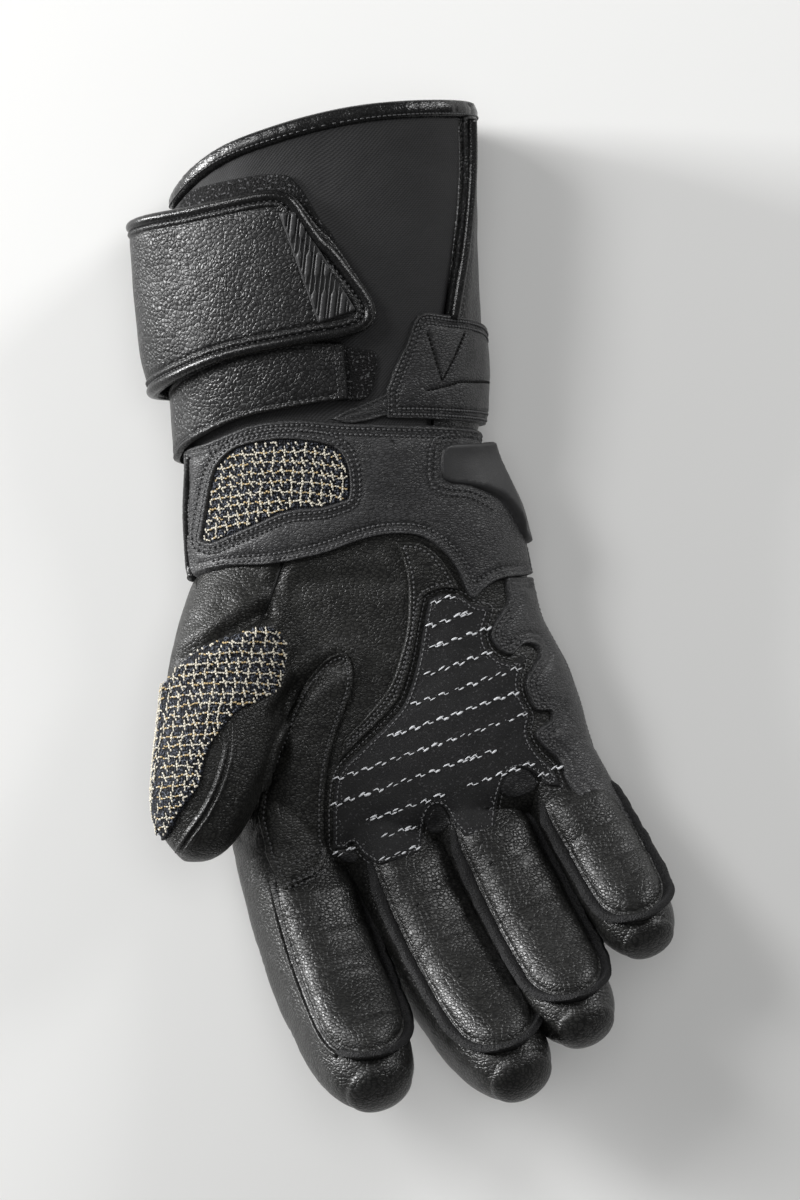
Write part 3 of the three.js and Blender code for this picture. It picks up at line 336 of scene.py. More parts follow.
class FingerLine:
    # the bent middle line of a finger, with the way that it faces at each step
    steps = 240

    def __init__(self, finger):
        self.finger = finger
        self.length = finger["length"] * glove["fingerLength"]
        self.half = finger["girth"] * glove["fingerGirth"] / 2
        root = planPoint((finger["across"], finger["along"]))
        place = Vector((root[0], root[1], 0.43 * glove["palmDepth"]))
        roll = math.radians(finger["roll"])
        self.frames = []
        for i in range(self.steps + 8):
            t = i / self.steps
            pitch = math.radians(finger["curl"] * smoothstep(t, 0.05, 1))
            splay = math.radians(lerp(*finger["splay"], t))
            ahead = Vector((math.sin(splay) * math.cos(pitch), -math.cos(splay) * math.cos(pitch),
                            math.sin(pitch)))
            level = Vector((math.cos(splay), math.sin(splay), 0))
            facing = ahead.cross(level)
            right = level * math.cos(roll) - facing * math.sin(roll)
            palmward = facing * math.cos(roll) + level * math.sin(roll)
            self.frames.append((place.copy(), ahead, right, palmward))
            place = place + ahead * (self.length / self.steps)

    def at(self, t, turn, offset=0.0):
        spot = max(0.0, t) * self.steps
        i = min(len(self.frames) - 2, int(spot))
        share = min(1.0, spot - i)
        place, ahead, right, palmward = (p.lerp(q, share) for p, q in zip(self.frames[i], self.frames[i + 1]))
        width, depth = fingerWidth(t)
        roundness = lerp(glove["fingerRoundness"], 2.05, smoothstep(t, 0.78, 0.97))
        x, z = onSection(turn, max(0.05, width * self.half + offset),
                         max(0.05, depth * self.half + offset), roundness)
        return place + right * x + palmward * z + ahead * (offset * (1 - width))

    def faced(self, t, turn, offset=0.0):
        here = self.at(t, turn, offset)
        return here, (self.at(t, turn, offset + 1) - here).normalized()


def fingerWidth(t):
    if t > 0.97:
        # the tip closes as a round cap
        share = min(1.0, (t - 0.97) / 0.045)
        cap = math.sqrt(max(0.0, 1 - share ** 2))
        return 0.67 * cap, 0.6 * cap
    return tableAt(fingerProfile, t)[1:3]


def gridPiece(columns, rows, place, closed=False, scale=(1, 1)):
    # a grid laid on the surface that place gives, with its own pattern coordinates
    bm = bmesh.new()
    layer = bm.loops.layers.uv.new("pattern")
    bmesh.ops.create_grid(bm, x_segments=columns, y_segments=rows, size=0.5)
    for face in bm.faces:
        for loop in face.loops:
            loop[layer].uv = ((loop.vert.co.x + 0.5) * scale[0], (loop.vert.co.y + 0.5) * scale[1])
    for vert in bm.verts:
        vert.co = place(vert.co.x + 0.5, vert.co.y + 0.5)
    if closed:
        bmesh.ops.remove_doubles(bm, verts=bm.verts, dist=0.002)
    return bm


def closeHoles(bm):
    edges = [edge for edge in bm.edges if edge.is_boundary]
    if edges:
        bmesh.ops.holes_fill(bm, edges=edges, sides=0)
    bmesh.ops.recalc_face_normals(bm, faces=bm.faces)
    return bm


pieces = []


def finishPiece(bm, name, material, replaced=(), sharp=None):
    # the finished mesh in the shared frame, riding on the glove
    bmesh.ops.transform(bm, matrix=toFrame, verts=bm.verts)
    mesh = bpy.data.meshes.new(name)
    bm.to_mesh(mesh)
    bm.free()
    mesh.materials.append(material)
    mesh.polygons.foreach_set("use_smooth", [True] * len(mesh.polygons))
    if sharp:
        mesh.set_sharp_from_angle(angle=math.radians(sharp))
    piece = bpy.data.objects.new(name, mesh)
    bpy.context.scene.collection.objects.link(piece)
    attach(piece, "root")
    if replaced:
        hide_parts(*replaced)
    pieces.append(piece)
    return piece


def ripple(point, size, seed=0.0):
    # smooth noise between about -1 and 1, with bumps of a size in millimetres
    return noise.noise(Vector(point) / size + Vector((seed, seed * 1.7, -seed)))


# Folds of the leather as lines in plan, with a depth and a width: a valley with a soft ridge on
# both sides. Places are pixels of the photograph from its middle, 0.3 mm each.
pixel = 0.3
middlePixel = (400, 600)


def fromPixels(x, y):
    return ((x - middlePixel[0]) * pixel, (middlePixel[1] - y) * pixel)


folds = [
    dict(line=[(283, 566), (272, 596), (259, 628)], depth=0.7, width=1.8),
    dict(line=[(158, 674), (185, 655), (215, 640), (248, 622), (266, 612)], depth=2.8, width=2.4),
    dict(line=[(168, 640), (196, 628), (226, 607)], depth=0.7, width=2.6),
    dict(line=[(282, 712), (300, 690), (322, 672), (340, 664)], depth=1.6, width=2.6),
    dict(line=[(300, 585), (345, 579), (390, 584)], depth=0.5, width=3.0),
    dict(line=[(245, 835), (262, 795), (282, 752)], depth=1.0, width=2.4),
]
foldLines = [(smoothRun([fromPixels(*p) for p in fold["line"]], 2.0), fold) for fold in folds]


def foldDepth(points):
    # how far each point of an array of plan points lies below the smooth skin
    total = np.zeros(len(points))
    for line, fold in foldLines:
        nearest = np.full(len(points), 1e9)
        for a, b in zip(line, line[1:]):
            a, b = np.array(a), np.array(b)
            along = b - a
            share = np.clip(((points - a) @ along) / (along @ along), 0, 1)
            nearest = np.minimum(nearest, np.linalg.norm(points - (a + share[:, None] * along), axis=1))
        d = nearest / fold["width"]
        total += fold["depth"] * (np.exp(-d ** 2) - 0.3 * np.exp(-((d - 1.9) / 0.9) ** 2))
    return total


class Wire:
    # a shader socket that takes part in sums
    def __init__(self, finish, socket):
        self.finish = finish
        self.socket = socket

    def sum(self, operation, *values):
        return self.finish.node("ShaderNodeMath", {"operation": operation}, dict(enumerate(values)))

    def __add__(self, other):
        return self.sum("ADD", self, other)

    def __radd__(self, other):
        return self.sum("ADD", other, self)

    def __sub__(self, other):
        return self.sum("SUBTRACT", self, other)

    def __rsub__(self, other):
        return self.sum("SUBTRACT", other, self)

    def __mul__(self, other):
        return self.sum("MULTIPLY", self, other)

    def __rmul__(self, other):
        return self.sum("MULTIPLY", other, self)

    def __pow__(self, other):
        return self.sum("POWER", self, other)

    def between(self, low, high):
        # 0 below low and 1 above high, with a soft step
        settings = {"interpolation_type": "SMOOTHSTEP"}
        return self.finish.node("ShaderNodeMapRange", settings, {"Value": self, "From Min": low, "From Max": high})


class Finish:
    # one material, made of nodes
    def __init__(self, name, constants):
        self.material = bpy.data.materials.new(name)
        self.material.use_nodes = True
        self.tree = self.material.node_tree
        self.shader = self.tree.nodes["Principled BSDF"]
        for socket, value in constants.items():
            self.shader.inputs[socket].default_value = value

    def feed(self, socket, value):
        if isinstance(value, Wire):
            self.tree.links.new(value.socket, socket)
        else:
            socket.default_value = value

    def node(self, kind, settings, sockets, output=0):
        made = self.tree.nodes.new(kind)
        for key, value in settings.items():
            setattr(made, key, value)
        for key, value in sockets.items():
            self.feed(made.inputs[key], value)
        return Wire(self, made.outputs[output])

    def places(self):
        return self.node("ShaderNodeTexCoord", {}, {}, output="Object")

    def pattern(self):
        return self.node("ShaderNodeUVMap", {"uv_map": "pattern"}, {})

    def moved(self, where, shift):
        return self.node("ShaderNodeVectorMath", {"operation": "ADD"}, {0: where, 1: shift})

    def stretched(self, where, scale, turn=0.0):
        sockets = {"Vector": where, "Scale": scale, "Rotation": (0, 0, math.radians(turn))}
        return self.node("ShaderNodeMapping", {"vector_type": "POINT"}, sockets)

    def specks(self, where, size, detail=2.0, output=0):
        # noise with bumps of a size in millimetres
        sockets = {"Vector": where, "Scale": 1000 / size, "Detail": detail}
        return self.node("ShaderNodeTexNoise", {}, sockets, output)

    def cells(self, where, size, feature="F1", output=0):
        sockets = {"Vector": where, "Scale": 1000 / size}
        return self.node("ShaderNodeTexVoronoi", {"feature": feature}, sockets, output)

    def bands(self, where, size, axis, shape="SIN"):
        # even ridges across an axis, a size in millimetres apart
        settings = {"bands_direction": axis, "wave_profile": shape}
        return self.node("ShaderNodeTexWave", settings, {"Vector": where, "Scale": 1000 * math.pi / 10 / size})

    def bent(self, where, size, amount):
        # places pushed about by noise, by an amount in millimetres
        noisy = self.specks(where, size, 2.0, 1)
        middle = self.node("ShaderNodeVectorMath", {"operation": "SUBTRACT"}, {0: noisy, 1: (0.5, 0.5, 0.5)})
        push = self.node("ShaderNodeVectorMath", {"operation": "SCALE"}, {0: middle, "Scale": amount / 500})
        return self.node("ShaderNodeVectorMath", {"operation": "ADD"}, {0: where, 1: push})

    def mix(self, share, a, b):
        return self.node("ShaderNodeMix", {"data_type": "RGBA"}, {0: share, 6: a, 7: b}, output=2)

    def dress(self, colour=None, roughness=None, height=None, strength=1.0):
        # height is in millimetres
        if colour is not None:
            self.feed(self.shader.inputs["Base Color"], colour)
        if roughness is not None:
            self.feed(self.shader.inputs["Roughness"], roughness)
        if height is not None:
            bump = self.node("ShaderNodeBump", {}, {"Height": height, "Distance": 0.001, "Strength": strength})
            self.feed(self.shader.inputs["Normal"], bump)
        return self.material


def grey(value, blue=0.03):
    return (value, value, value * (1 + blue), 1)


def leather(name, tone, roughness, pebble, grain, wear, creases, stretch=(1, 1, 1), tint=0.03, grooveShade=0.3):
    # round pebbles with painted shade in the grooves between them, fine wrinkles, and worn places that are paler, with
    # painted shade also kept in the grooves
    made = Finish(name, {"Specular IOR Level": 0.5})
    where = made.places()
    loose = made.stretched(made.bent(where, pebble * 3, pebble * 0.45), stretch)
    domes = 1 - made.cells(loose, pebble) ** 1.6
    walls = made.cells(loose, pebble, "DISTANCE_TO_EDGE").between(0.0, 0.22)
    broad = made.specks(where, 15, 3.0)
    wrinkles = made.specks(made.stretched(where, (1.0, 2.4, 1.0)), 3.4, 3.0)
    patchy = made.specks(where, 6.0, 2.0).between(0.3, 0.65)
    height = (domes * 0.55 + walls * 0.45) * (patchy * grain * 0.6 + grain * 0.6) + wrinkles * creases
    # paler wear at random, and painted shade at the grooves where the pebbles' edges meet
    wearAndGrooveShade = (broad * 0.6 + walls * 0.4).between(0.45, 0.75)
    colour = made.mix(wearAndGrooveShade, grey(tone * 0.75, tint), grey(tone * (1 + wear), tint))
    # painted shade darkens the grooves between the pebbles, whatever the light
    colour = made.mix(walls, grey(tone * grooveShade, tint), colour)
    return made.dress(colour, broad * 0.16 - walls * 0.08 + (roughness - 0.03), height)


smoothLeather = leather("smoothLeather", 0.015, 0.4, 1.15, 0.17, 0.5, 0.07, (0.85, 1.3, 1), -0.08)
fingerLeather = leather("fingerLeather", 0.014, 0.36, 1.2, 0.15, 0.5, 0.05, (0.85, 1.25, 1), -0.05)
greyLeather = leather("greyLeather", 0.036, 0.42, 0.9, 0.17, 0.4, 0.12, (0.6, 1.25, 1), grooveShade=0.6)
tabLeather = leather("tabLeather", 0.028, 0.4, 0.9, 0.17, 0.4, 0.1, (0.6, 1.25, 1), grooveShade=0.6)
strapLeather = leather("strapLeather", 0.013, 0.38, 1.2, 0.2, 0.45, 0.06)
welted = leather("weltedEdge", 0.009, 0.27, 1.1, 0.06, 0.3, 0.05)
lining = Finish("lining", {"Base Color": grey(0.008), "Roughness": 0.9}).material
blackThread = Finish("blackThread", {"Base Color": grey(0.055), "Roughness": 0.45}).material
greyThread = Finish("greyThread", {"Base Color": grey(0.13), "Roughness": 0.5}).material
# near black: painted shade for the pricked holes, the palm seam and the tab's stitched grooves
seamAndHoleShade = Finish("seamAndHoleShade", {"Base Color": grey(0.001), "Roughness": 0.9}).material

def clothFinish():
    # a fine slanting twill
    made = Finish("cuffCloth", {"Specular IOR Level": 0.35})
    where = made.pattern()
    ribs = made.bands(made.stretched(where, (1, 1, 1), 38), 0.8, "X")
    cross = made.bands(where, 0.6, "Y")
    cloud = made.specks(made.places(), 9, 3.0)
    nap = made.specks(made.places(), 0.55, 2.0)
    weave = ribs * 0.45 + cross * 0.2 + nap * 0.5
    colour = made.mix(weave, grey(0.004), grey(0.036))
    return made.dress(colour, cloud * 0.15 + 0.62, weave * 0.09 + cloud * 0.4)


def loopFinish():
    # hairy tape with pale specks of painted glint on its loops
    made = Finish("loopTape", {"Specular IOR Level": 0.3})
    where = made.places()
    loops = made.cells(where, 0.7)
    hairs = made.specks(made.stretched(where, (1, 2.5, 1), 25), 0.6, 3.0)
    # pale specks painted as glints on the loops
    paintedGlints = made.specks(where, 0.75, 1.0).between(0.6, 0.68)
    colour = made.mix(hairs.between(0.35, 0.7), grey(0.003), grey(0.013))
    speckled = made.mix(paintedGlints, colour, grey(0.09))
    return made.dress(speckled, 0.85, loops * -0.35 + hairs * 0.35)


def weaveFinish():
    # the ground of the tweed: navy, black and blue grey yarns crossing
    made = Finish("wovenCloth", {"Specular IOR Level": 0.25})
    where = made.places()
    upright = made.bands(made.bent(where, 2.0, 0.2), 0.75, "X")
    across = made.bands(made.bent(where, 2.0, 0.2), 0.8, "Y")
    blotch = made.specks(where, 1.1, 2.0).between(0.42, 0.62)
    blue = made.mix(blotch, grey(0.008, 0.2), (0.04, 0.045, 0.06, 1))
    weave = upright * 0.5 + across * 0.5
    colour = made.mix(weave, grey(0.004), blue)
    return made.dress(colour, 0.8, weave * 0.3)


def suedeFinish():
    # short nap with a faint ribbing
    made = Finish("gripSuede", {"Specular IOR Level": 0.25})
    where = made.places()
    nap = made.specks(where, 0.45, 3.0)
    cloud = made.specks(where, 7, 3.0)
    flecks = made.specks(where, 0.7, 1.0).between(0.6, 0.75)
    colour = made.mix(cloud * 0.4 + nap * 0.6, grey(0.006), grey(0.03))
    flecked = made.mix(flecks, colour, grey(0.055))
    return made.dress(flecked, 0.82, nap * 0.2 + cloud * 0.3)


def rubberFinish():
    made = Finish("mouldedRubber", {"Specular IOR Level": 0.45})
    where = made.places()
    grain = made.specks(where, 0.5, 3.0)
    cloud = made.specks(where, 8, 3.0)
    return made.dress(made.mix(cloud, grey(0.017), grey(0.034)), cloud * 0.12 + 0.42, grain * 0.05)


def yarn(name, colour):
    made = Finish(name, {"Specular IOR Level": 0.3})
    fibres = made.specks(made.places(), 0.3, 2.0)
    return made.dress(made.mix(fibres, tuple(c * 0.7 for c in colour[:3]) + (1,), colour), 0.75, fibres * 0.06)


def rawFinish():
    # the fuzzy cut edges of leather
    made = Finish("rawEdge", {"Specular IOR Level": 0.3})
    fuzz = made.specks(made.places(), 0.6, 3.0)
    clumps = made.specks(made.places(), 2.2, 2.0)
    colour = made.mix(clumps * 0.5 + fuzz * 0.5, grey(0.003, 0.05), grey(0.019, 0.05))
    return made.dress(colour, 0.6, fuzz * 0.8 + clumps * 0.5)


rawEdge = rawFinish()
cuffCloth = clothFinish()
loopTape = loopFinish()
wovenCloth = weaveFinish()
gripSuede = suedeFinish()
mouldedRubber = rubberFinish()
creamYarn = yarn("creamYarn", (0.66, 0.62, 0.52, 1))
goldYarn = yarn("goldYarn", (0.5, 0.38, 0.2, 1))
blueYarn = yarn("blueYarn", (0.1, 0.11, 0.135, 1))
silverInk = Finish("silverInk", {"Base Color": (0.62, 0.63, 0.65, 1), "Roughness": 0.5}).material

print("shaping the hand")

thumbRows = [(i,) + row for i, row in enumerate(thumbStations + [(-0.595, 1.052, 0.915, 0.03, 0.03)])]


def thumbMiddle(k):
    row = tableAt(thumbRows, k)
    x, y = planPoint(row[1:3])
    return Vector((x, y, row[3] * glove["palmDepth"])), row


def thumbPoint(k, turn, offset=0.0):
    here, row = thumbMiddle(k)
    ahead = (thumbMiddle(k + 0.05)[0] - thumbMiddle(k - 0.05)[0]).normalized()
    right = -Vector((0, 0, 1)).cross(ahead).normalized()
    palmward = ahead.cross(right)
    x, z = onSection(turn, max(0.05, row[4] * glove["thumbWidth"] / 2 + offset),
                     max(0.05, row[5] * glove["thumbDepth"] / 2 + offset), glove["thumbRoundness"])
    return here + right * x + palmward * z


skin = {"voxel": 1.05, "relax": 9, "wave": 0.45, "crumple": 0.12, "rootEnd": 0.34}


def fused(bm, voxel, rounds):
    # overlapping closed forms as one skin, softened where they meet
    mesh = bpy.data.meshes.new("fused")
    bm.to_mesh(mesh)
    bm.free()
    holder = bpy.data.objects.new("fused", mesh)
    bpy.context.scene.collection.objects.link(holder)
    join = holder.modifiers.new("join", "REMESH")
    join.mode = "VOXEL"
    join.voxel_size = voxel
    relax = holder.modifiers.new("relax", "SMOOTH")
    relax.factor = 0.5
    relax.iterations = rounds
    done = bpy.data.meshes.new_from_object(holder.evaluated_get(bpy.context.evaluated_depsgraph_get()))
    bpy.data.objects.remove(holder)
    made = bmesh.new()
    made.from_mesh(done)
    bpy.data.meshes.remove(done)
    return made


def dressSkin(bm, wave, crumple, seed):
    # folds, broad waves and small crumples pressed into the skin along its normals
    bm.normal_update()
    points = np.array([vert.co[:] for vert in bm.verts])
    facing = np.array([vert.normal[:] for vert in bm.verts])
    down = foldDepth(points[:, :2]) * np.clip((facing[:, 2] - 0.1) / 0.4, 0, 1)
    for vert, fold in zip(bm.verts, down):
        if vert.co.z < 1.0:
            continue
        lift = wave * ripple(vert.co, 19, seed) + crumple * ripple(vert.co, 6.5, seed)
        vert.co += vert.normal * (lift - fold)


def joinInto(bm, other):
    mesh = bpy.data.meshes.new("part")
    other.to_mesh(mesh)
    other.free()
    bm.from_mesh(mesh)
    bpy.data.meshes.remove(mesh)


knuckleY = glove["wristSeam"] - 1.03 * glove["palmLength"]
handBody = closeHoles(gridPiece(150, 110, lambda u, v: bodyPoint(u * 360, lerp(glove["wristSeam"] + 3, knuckleY, v)),
                                closed=True))
joinInto(handBody, closeHoles(gridPiece(64, 90, lambda u, v: thumbPoint(v * (len(thumbRows) - 1), u * 360),
                                        closed=True)))
fingerLines = {name: FingerLine(finger) for name, finger in fingers.items()}
# the roots of the fingers belong to the palm's skin, and sink under the fingers' own further out
for root in fingerLines.values():
    def rootPoint(u, v, root=root):
        t = v * skin["rootEnd"]
        return root.at(t, u * 360, lerp(0.45, -1.4, smoothstep(t, 0.14, skin["rootEnd"])))
    joinInto(handBody, closeHoles(gridPiece(60, 40, rootPoint, closed=True)))
# a web of leather fills each fork between two fingers
for x, y in ((345, 846), (433, 822), (513, 768)):
    x, y = fromPixels(x, y)
    place = Matrix.Translation((x, y, 23.5)) @ Matrix.Diagonal((6.5, 6.5, 9, 1))
    bmesh.ops.create_icosphere(handBody, subdivisions=4, radius=1, matrix=place)
handSkin = fused(handBody, skin["voxel"], skin["relax"])
dressSkin(handSkin, skin["wave"], skin["crumple"], 3.1)
wristCut = Vector((0, glove["wristSeam"] - glove["gap"] / 2, 0))
skinTrees = [BVHTree.FromBMesh(handSkin)]
bmesh.ops.bisect_plane(handSkin, geom=handSkin.verts[:] + handSkin.edges[:] + handSkin.faces[:],
                       plane_co=wristCut, plane_no=(0, 1, 0), clear_outer=True)

tipEnd = 1.015


def fingerSkin(name, line):
    def place(u, v):
        t = tipEnd * (1 - (1 - v) ** 1.6)
        point, facing = line.faced(t, u * 360)
        lift = 0.3 * ripple(point, 12, 5) + 0.14 * ripple(point, 5, 9)
        # knuckle creases on the back of the finger
        back = max(0.0, -math.cos(math.radians(u * 360)))
        for knuckle in (0.46, 0.7):
            for k in (-1, 0, 1):
                away = (t - knuckle) * line.length - k * 2.6
                lift -= 0.5 * back * math.exp(-(away / 0.8) ** 2)
        return point + facing * lift * min(1.0, (1.0 - min(1.0, t)) * 12)
    made = closeHoles(gridPiece(72, 120, place, closed=True, scale=(0.09, line.length / 1000)))
    tip = line.at(1.0, 0)
    for _ in range(10):
        bmesh.ops.smooth_vert(made, verts=[vert for vert in made.verts if (vert.co - tip).length < 7], factor=0.5,
                              use_axis_x=True, use_axis_y=True, use_axis_z=True)
    return made


fingerSkins = {name: fingerSkin(name, line) for name, line in fingerLines.items()}
skinTrees += [BVHTree.FromBMesh(bm) for bm in fingerSkins.values()]
cuffStub = closeHoles(gridPiece(120, 30, lambda u, v: bodyPoint(u * 360, lerp(70, glove["wristSeam"] + 1, v)),
                                closed=True))
skinTrees.append(BVHTree.FromBMesh(cuffStub))
cuffStub.free()


def castFrom(origin, direction):
    best = None
    for tree in skinTrees:
        spot, normal, _, distance = tree.ray_cast(origin, direction)
        if spot is not None and (best is None or distance < best[2]):
            best = (spot, normal if normal.dot(direction) < 0 else -normal, distance)
    return best[:2] if best else None


def nearestSpot(point):
    spots = [tree.find_nearest(point) for tree in skinTrees]
    spot, normal, _, _ = min(spots, key=lambda found: found[3])
    return spot, normal


wrap = {"radius": 7.0, "depth": 9.0, "beyond": 9.0}


def bodyLimits(y):
    row = tableAt(bodyRows, -y)
    return row[1] - 0.9 * row[2], row[1] + 0.9 * row[2]


def thumbLimits(y):
    # the middle of the thumb at y, and how wide it is there
    low, high = 0.0, float(len(thumbStations) - 1)
    for _ in range(24):
        k = (low + high) / 2
        if thumbMiddle(k)[0].y > y:
            low = k
        else:
            high = k
    middle, row = thumbMiddle(low)
    return middle.x - 0.86 * row[4] * glove["thumbWidth"] / 2, 1e3


def overHand(limits):
    # the skin under a point of the plan, and round the side of the hand beyond its limits
    def onto(x, y):
        low, high = limits(y)
        edge = min(max(x, low), high)
        found = castFrom(Vector((edge, y, glove["farUp"])), Vector((0, 0, -1)))
        if found is None:
            return nearestSpot(Vector((edge, y, 20)))
        over = x - edge
        if abs(over) < 1e-6:
            return found
        angle = max(-2.1, min(2.1, over / wrap["radius"]))
        ray = Vector((math.sin(angle), 0, math.cos(angle)))
        pivot = found[0] - Vector((0, 0, wrap["depth"]))
        return castFrom(pivot + ray * 45, -ray) or found
    return onto


onBody = overHand(bodyLimits)
onThumb = overHand(thumbLimits)


def insidePolygon(points, polygon):
    inside = np.zeros(len(points), bool)
    x, y = points[:, 0], points[:, 1]
    for (x0, y0), (x1, y1) in zip(polygon, polygon[1:] + polygon[:1]):
        if y0 != y1:
            crossing = ((y0 > y) != (y1 > y)) & (x < (x1 - x0) * (y - y0) / (y1 - y0) + x0)
            inside ^= crossing
    return inside


def fromEdge(points, polygon):
    # how far each point is from the outline, and how far round it the nearest spot lies
    nearest = np.full(len(points), 1e9)
    around = np.zeros(len(points))
    gone = 0.0
    for a, b in zip(polygon, polygon[1:] + polygon[:1]):
        a, along = np.array(a), np.array(b) - np.array(a)
        length = math.hypot(*along)
        share = np.clip(((points - a) @ along) / max(1e-9, length * length), 0, 1)
        distance = np.linalg.norm(points - (a + share[:, None] * along), axis=1)
        closer = distance < nearest
        nearest[closer] = distance[closer]
        around[closer] = gone + share[closer] * length
        gone += length
    return nearest, around


def turnsLeft(polygon):
    return sum(a[0] * b[1] - b[0] * a[1] for a, b in zip(polygon, polygon[1:] + polygon[:1])) > 0


def insetPoints(polygon, depth):
    # the outline moved inwards, without the spots that come too near another edge
    side = 1 if turnsLeft(polygon) else -1
    moved = []
    for before, here, after in zip(polygon[-1:] + polygon[:-1], polygon, polygon[1:] + polygon[:1]):
        dx, dy = after[0] - before[0], after[1] - before[1]
        length = math.hypot(dx, dy) or 1.0
        moved.append((here[0] - side * dy / length * depth, here[1] + side * dx / length * depth))
    spots = np.array(moved)
    clear = insidePolygon(spots, polygon) & (fromEdge(spots, polygon)[0] > depth * 0.96)
    return [(spot, bool(ok)) for spot, ok in zip(moved, clear)]


def evenLine(points, spacing, closed=True):
    # the line's points at even steps
    line = list(points) + ([points[0]] if closed else [])
    lengths = [math.dist(a, b) for a, b in zip(line, line[1:])]
    total = sum(lengths)
    count = max(3, round(total / spacing))
    made, i, gone = [], 0, 0.0
    for k in range(count if closed else count + 1):
        target = total * k / count
        while i < len(lengths) - 1 and gone + lengths[i] < target:
            gone += lengths[i]
            i += 1
        share = (target - gone) / max(1e-9, lengths[i])
        made.append(tuple(lerp(p, q, share) for p, q in zip(line[i], line[i + 1])))
    return made


def flatSheet(polygon, rings, cell, hole=None):
    # the cut shape, meshed evenly inside with rows of points that follow its edge
    loops = [polygon] + ([hole] if hole else [])
    points = [spot for loop in loops for spot in loop]
    edges, first = [], 0
    for loop in loops:
        edges += [(first + i, first + (i + 1) % len(loop)) for i in range(len(loop))]
        first += len(loop)
    border = len(points)

    def away(spots):
        return np.minimum.reduce([fromEdge(spots, loop)[0] for loop in loops])

    def within(spots):
        kept = insidePolygon(spots, polygon)
        return kept & ~insidePolygon(spots, hole) if hole else kept

    for depth in rings:
        spots = [spot for spot, ok in insetPoints(polygon, depth) if ok]
        if hole:
            spots += [spot for spot, _ in insetPoints(hole, -depth)]
        if spots:
            array = np.array(spots)
            points += [tuple(p) for p in array[within(array) & (away(array) > depth * 0.96)]]
    xs, ys = [p[0] for p in polygon], [p[1] for p in polygon]
    rows = np.arange(min(ys), max(ys), cell * 0.866)
    grid = np.array([
        (x + (k % 2) * cell / 2, y) for k, y in enumerate(rows) for x in np.arange(min(xs), max(xs), cell)
    ])
    grid = grid[within(grid)]
    grid = grid[away(grid) > (rings[-1] if rings else 0) + cell * 0.55]
    points += [tuple(p) for p in grid]
    spots, _, faces, _, _, _ = geometry.delaunay_2d_cdt([Vector(p) for p in points], edges, [], 1, 1e-4)
    bm = bmesh.new()
    verts = [bm.verts.new((spot.x, spot.y, 0)) for spot in spots]
    centres = np.array([[sum(spots[i][k] for i in face) / 3 for k in (0, 1)] for face in faces])
    for face, keep in zip(faces, within(centres)):
        if keep:
            bm.faces.new([verts[i] for i in face])
    bmesh.ops.delete(bm, geom=[vert for vert in bm.verts if not vert.link_faces], context="VERTS")
    bmesh.ops.recalc_face_normals(bm, faces=bm.faces)
    if sum(face.normal.z for face in bm.faces) < 0:
        bmesh.ops.reverse_faces(bm, faces=bm.faces[:])
    return bm, loops


def layOn(bm, loops, onto, height, sink):
    # the flat sheet laid on its surface: height gives its face, sink how deep its underside lies
    layer = bm.loops.layers.uv.new("pattern")
    for face in bm.faces:
        for loop in face.loops:
            loop[layer].uv = loop.vert.co.xy / 1000
    spots = np.array([vert.co.xy[:] for vert in bm.verts])
    found = [fromEdge(spots, loop) for loop in loops]
    nearest = np.minimum.reduce([f[0] for f in found])
    around = np.where(found[0][0] <= nearest, found[0][1], found[-1][1])
    top = bm.verts.layers.float_vector.new("top")
    for vert, d, s in zip(bm.verts, nearest, around):
        x, y = vert.co.xy
        point, facing = onto(x, y)
        vert[top] = point + facing * height(float(d), x, y, float(s))
        vert.co = point - facing * sink
    made = bmesh.ops.extrude_face_region(bm, geom=bm.faces[:], use_keep_orig=True)
    for vert in made["geom"]:
        if isinstance(vert, bmesh.types.BMVert):
            vert.co = vert[top]
    bm.verts.layers.float_vector.remove(top)
    bmesh.ops.recalc_face_normals(bm, faces=bm.faces)
    return bm


def cutEdge(thickness, seams=(), edge=0.6, swell=0.0, groove=0.5, pitch=1.5, wave=0.0, seed=1.0, roll=0.0):
    # the height of a sewn piece: a rounded cut edge, a furrow with puckers under each seam, and a
    # soft swell inside them
    inner = seams[-1] if seams else edge

    def height(d, x, y, s):
        lift = thickness * math.sqrt(max(0.0, 1 - (1 - min(1.0, d / edge)) ** 2))
        for seam in seams:
            near = math.exp(-((d - seam) / 0.5) ** 2)
            lift -= groove * near * (0.8 + 0.35 * math.cos(2 * math.pi * s / pitch))
            lift += 0.12 * math.exp(-((d - seam) / 1.6) ** 2) * math.cos(2 * math.pi * s / pitch + 1)
        lift += swell * (1 - math.exp(-max(0.0, d - inner) / 3.5)) + roll * math.exp(-((d - 1.0) / 0.8) ** 2)
        return lift + wave * ripple((x, y, 0), 7, seed) * min(1.0, d / 2)
    return height


def ringsFor(seams, edge):
    rings = [edge * 0.25, edge * 0.6, edge]
    for seam in seams:
        rings += [seam - 0.45, seam, seam + 0.45]
    return [r for r in rings if r > 0.05]


def sewnPiece(name, outline, onto, thickness, material, slotName, replaced=(), seams=(), edge=0.6,
              cell=0.95, hole=None, sink=0.6, height=None, **shape):
    polygon = evenLine(outline, 0.7)
    opening = evenLine(hole, 0.7) if hole else None
    bm, loops = flatSheet(polygon, ringsFor(seams, edge), cell, opening)
    height = height or cutEdge(thickness, seams, edge, **shape)
    layOn(bm, loops, onto, height, sink)
    return finishPiece(bm, name, material, replaced)


thread = {"length": 1.2, "thick": 0.72, "pitch": 1.5}


def softened(line, rounds):
    # a closed line with its corners rounded off
    for _ in range(rounds):
        line = [tuple((p + 2 * q + r) / 4 for p, q, r in zip(*three))
                for three in zip(line[-1:] + line[:-1], line, line[1:] + line[:1])]
    return line


